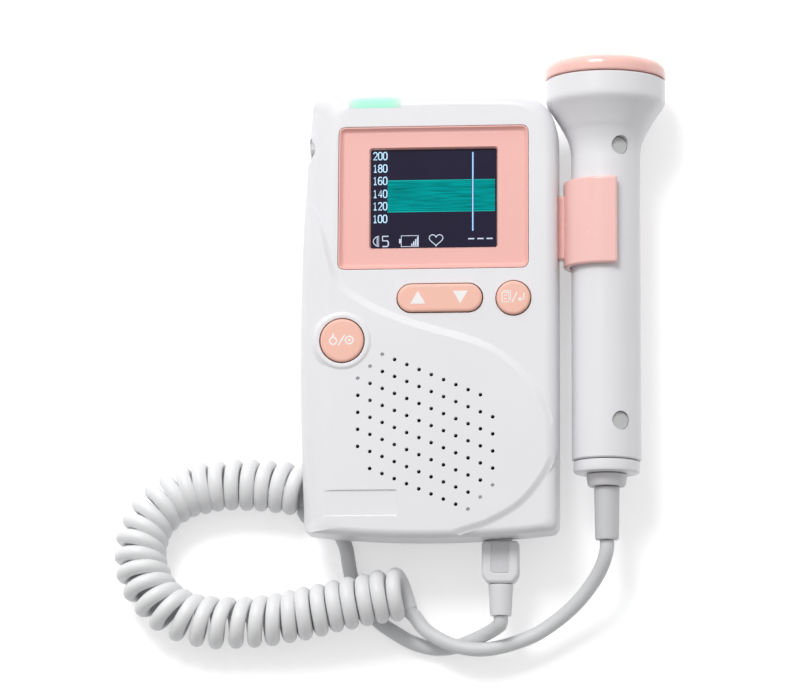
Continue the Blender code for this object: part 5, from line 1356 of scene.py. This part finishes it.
def coilPoints():
    # the curls lean and slant as they lie, and are a little uneven
    step = lead["cordDiameter"] / 16
    line = smoothRoute(lead["coilRoute"], step, beside)[round(lead["startTrim"] / step):]
    step = (line[1] - line[0]).length
    heading = []
    for a, b in zip(line, line[1:]):
        angle = math.atan2(b.y - a.y, b.x - a.x)
        while heading and angle > heading[-1] + math.pi:
            angle -= 2 * math.pi
        while heading and angle < heading[-1] - math.pi:
            angle += 2 * math.pi
        heading.append(angle)
    heading.append(heading[-1])
    turns = [0]
    for i in range(1, len(line)):
        turns.append(turns[-1] + step / between(lead["pitch"], i / len(line)))
    whole = round(turns[-1])
    turns = [turn * whole / turns[-1] for turn in turns]
    targets = [k / lead["pointsPerCurl"] for k in range(whole * lead["pointsPerCurl"] + 1)]
    points = []
    for turn, (i, share) in zip(targets, located(turns, targets)):
        angle = 2 * math.pi * turn - math.pi / 2
        along = heading[i] + (heading[i + 1] - heading[i]) * share
        forward = Vector((math.cos(along), math.sin(along), 0))
        inward = Vector((math.sin(along), -math.cos(along), 0))
        inside = min(1, turn / 0.75, (whole - turn) / 0.75)
        wobble = lead["unevenness"] * math.sin(1.7 * turn) * math.sin(0.61 * turn + 1)
        size = lead["coilRadius"] * (1 + inside * wobble)
        lean, slant = between(lead["lean"], turn / whole), between(lead["slant"], turn / whole)
        shift = inside * size * (lean * math.sin(angle) - slant * math.cos(angle) + wobble)
        spot = line[i].lerp(line[i + 1], share)
        outward = inward * math.cos(angle) + Vector((0, 0, math.sin(angle)))
        points.append(spot + size * outward + forward * shift)
    return points, whole


def makeCord(name, node, route, diameter, look):
    # one stretch of the lead, with the line that it lies along
    obj = tubeAlong(name, route, diameter, lead["cordSides"] // 4 - 1)
    obj.data.transform(Matrix.Translation(caseMiddle))
    coated(obj, look, 40)
    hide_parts(node)
    return obj, [point + caseMiddle for point in route]


def makeLead():
    diameter, coilDiameter, step = lead["cordDiameter"], lead["coilDiameter"], lead["pointStep"]
    points, curls = coilPoints()
    entry, leaving = points[0] - points[1], points[-1] - points[-2]
    entry.z, leaving.z = 0, 0
    entry, leaving = entry.normalized() * diameter, leaving.normalized() * diameter
    coil = [points[0] + entry, *points, points[-1] + leaving]
    probeEnd, plugEnd, back = Vector(lead["probeEnd"]), Vector(lead["plugEnd"]), Vector((0, -diameter / 2, 0))
    toProbe = [probeEnd, probeEnd + back, *lead["probeRoute"], coil[0] + entry / 2, coil[0]]
    toPlug = [coil[-1], coil[-1] + leaving / 2, *lead["plugRoute"], plugEnd + back, plugEnd]

    route = smoothRoute(toProbe, step)
    cordToProbe, path = makeCord("cordToProbe", "cord_to_probe", route, diameter, cordGrey)
    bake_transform(cordToProbe)
    cordCurly, path = makeCord("cordCurly", "cord_curly", coil, coilDiameter, coilGrey)
    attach(cordCurly, "case")
    route = smoothRoute(toPlug, step)
    cordToPlug, path = makeCord("cordToPlug", "cord_to_plug", route, diameter, cordGrey)
    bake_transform(cordToPlug)
    plugPieces = [bpy.data.objects[name] for name in ("plugBody", "plugPanel", "plugRelief")]
    plugPieces.append(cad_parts["plug_tongue"])
    print("lead made:", curls, "curls")


makeLead()


# Floor, lamps and background

studio = {
    "floorSize": 8,
    "floorColour": (0.86, 0.86, 0.87),
    "floorLift": 0.44,
    "sky": (0.30, 0.71),
    "skyBand": (-0.8, 0.7),
    "toFoot": (-0.12, 0.98, 0.15),
    "lamps": [
        ("softBox", (-0.35, 0.88, 1.29), (0.55, 0.55), 13.6),
        ("edgeStrip", (-0.80, 1.05, 0.30), (1.2, 0.12), 1.2),
    ],
}


def makeFloor():
    clearPick()
    bpy.ops.mesh.primitive_plane_add(size=studio["floorSize"], location=(0, 0, -0.0001))
    floor = named("studioFloor")
    material, tree, shader = newMaterial("floorPaper")
    path = tree.nodes.new("ShaderNodeLightPath").outputs
    seen = calculated(tree, "MAXIMUM", path["Is Camera Ray"], path["Is Glossy Ray"])
    seen = calculated(tree, "MAXIMUM", seen, path["Is Transmission Ray"])
    feed(tree, shader, {
        "Base Color": (*studio["floorColour"], 1),
        "Roughness": 0.9,
        "Specular IOR Level": 0.1,
        "Emission Color": (1, 1, 1, 1),
        "Emission Strength": calculated(tree, "MULTIPLY", seen, studio["floorLift"]),
    })
    floor.data.materials.append(material)


def makeSky():
    # the sky is darker towards the foot of the case and to its right, and white to the camera
    world = bpy.data.worlds.new("studioSky")
    bpy.context.scene.world = world
    world.use_nodes = True
    tree = world.node_tree
    place = added(tree, "TexCoord", {}, "Generated")
    toFoot = added(tree, "VectorMath", {0: place, 1: studio["toFoot"]}, "Value", operation="DOT_PRODUCT")
    levels = dict(zip(("From Min", "From Max", "To Min", "To Max"), (*studio["skyBand"], *studio["sky"])))
    strength = added(tree, "MapRange", {"Value": toFoot, **levels}, "Result", interpolation_type="SMOOTHSTEP")
    shade = tree.nodes["Background"]
    feed(tree, shade, {"Color": (1, 1, 1, 1), "Strength": strength})
    white = added(tree, "Background", {"Color": (1, 1, 1, 1), "Strength": 1}, "Background")
    seen = added(tree, "LightPath", {}, "Is Camera Ray")
    mix = added(tree, "MixShader", {"Fac": seen, 1: shade.outputs["Background"], 2: white}, "Shader")
    feed(tree, tree.nodes["World Output"], {"Surface": mix})


def makeLamp(name, place, size, power):
    clearPick()
    bpy.ops.object.light_add(type="AREA", location=place)
    lamp = bpy.context.object
    lamp.name = name
    lamp.data.shape = "RECTANGLE"
    lamp.data.size, lamp.data.size_y = size
    lamp.data.energy = power
    lamp.rotation_euler = (-Vector(place)).to_track_quat("-Z", "Y").to_euler()


makeFloor()
makeSky()
for settings in studio["lamps"]:
    makeLamp(*settings)
bpy.context.scene.view_settings.view_transform = "Standard"
print("studio ready")


# CAD nodes that stay, each in its own finish

nodeLooks = (
    (steel, "case_screw_1 case_screw_2 case_screw_3 case_screw_4 usb_socket speaker_magnet plug_tongue"),
    (steel, "battery_spring_left battery_spring_right battery_contact_left battery_contact_right"),
    (steel, "battery_contact_bridge probe_screw_1 probe_screw_2"),
    (mintPipe, "status_led_1 status_led_2"),
    (darkPlastic, "lcd_module tact_switch_1 tact_switch_2 tact_switch_3 tact_switch_4 speaker_frame"),
    (darkPlastic, "battery_left battery_right transducer_backing"),
    (boardGreen, "main_board probe_board"),
    (jackGrey, "earphone_jack"),
    (coneFibre, "speaker_cone"),
    (ceramic, "crystal_left crystal_right"),
)
for look, names in nodeLooks:
    for node in names.split():
        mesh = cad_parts[node].data
        mesh.materials.clear()
        mesh.materials.append(look)
print("CAD nodes finished")
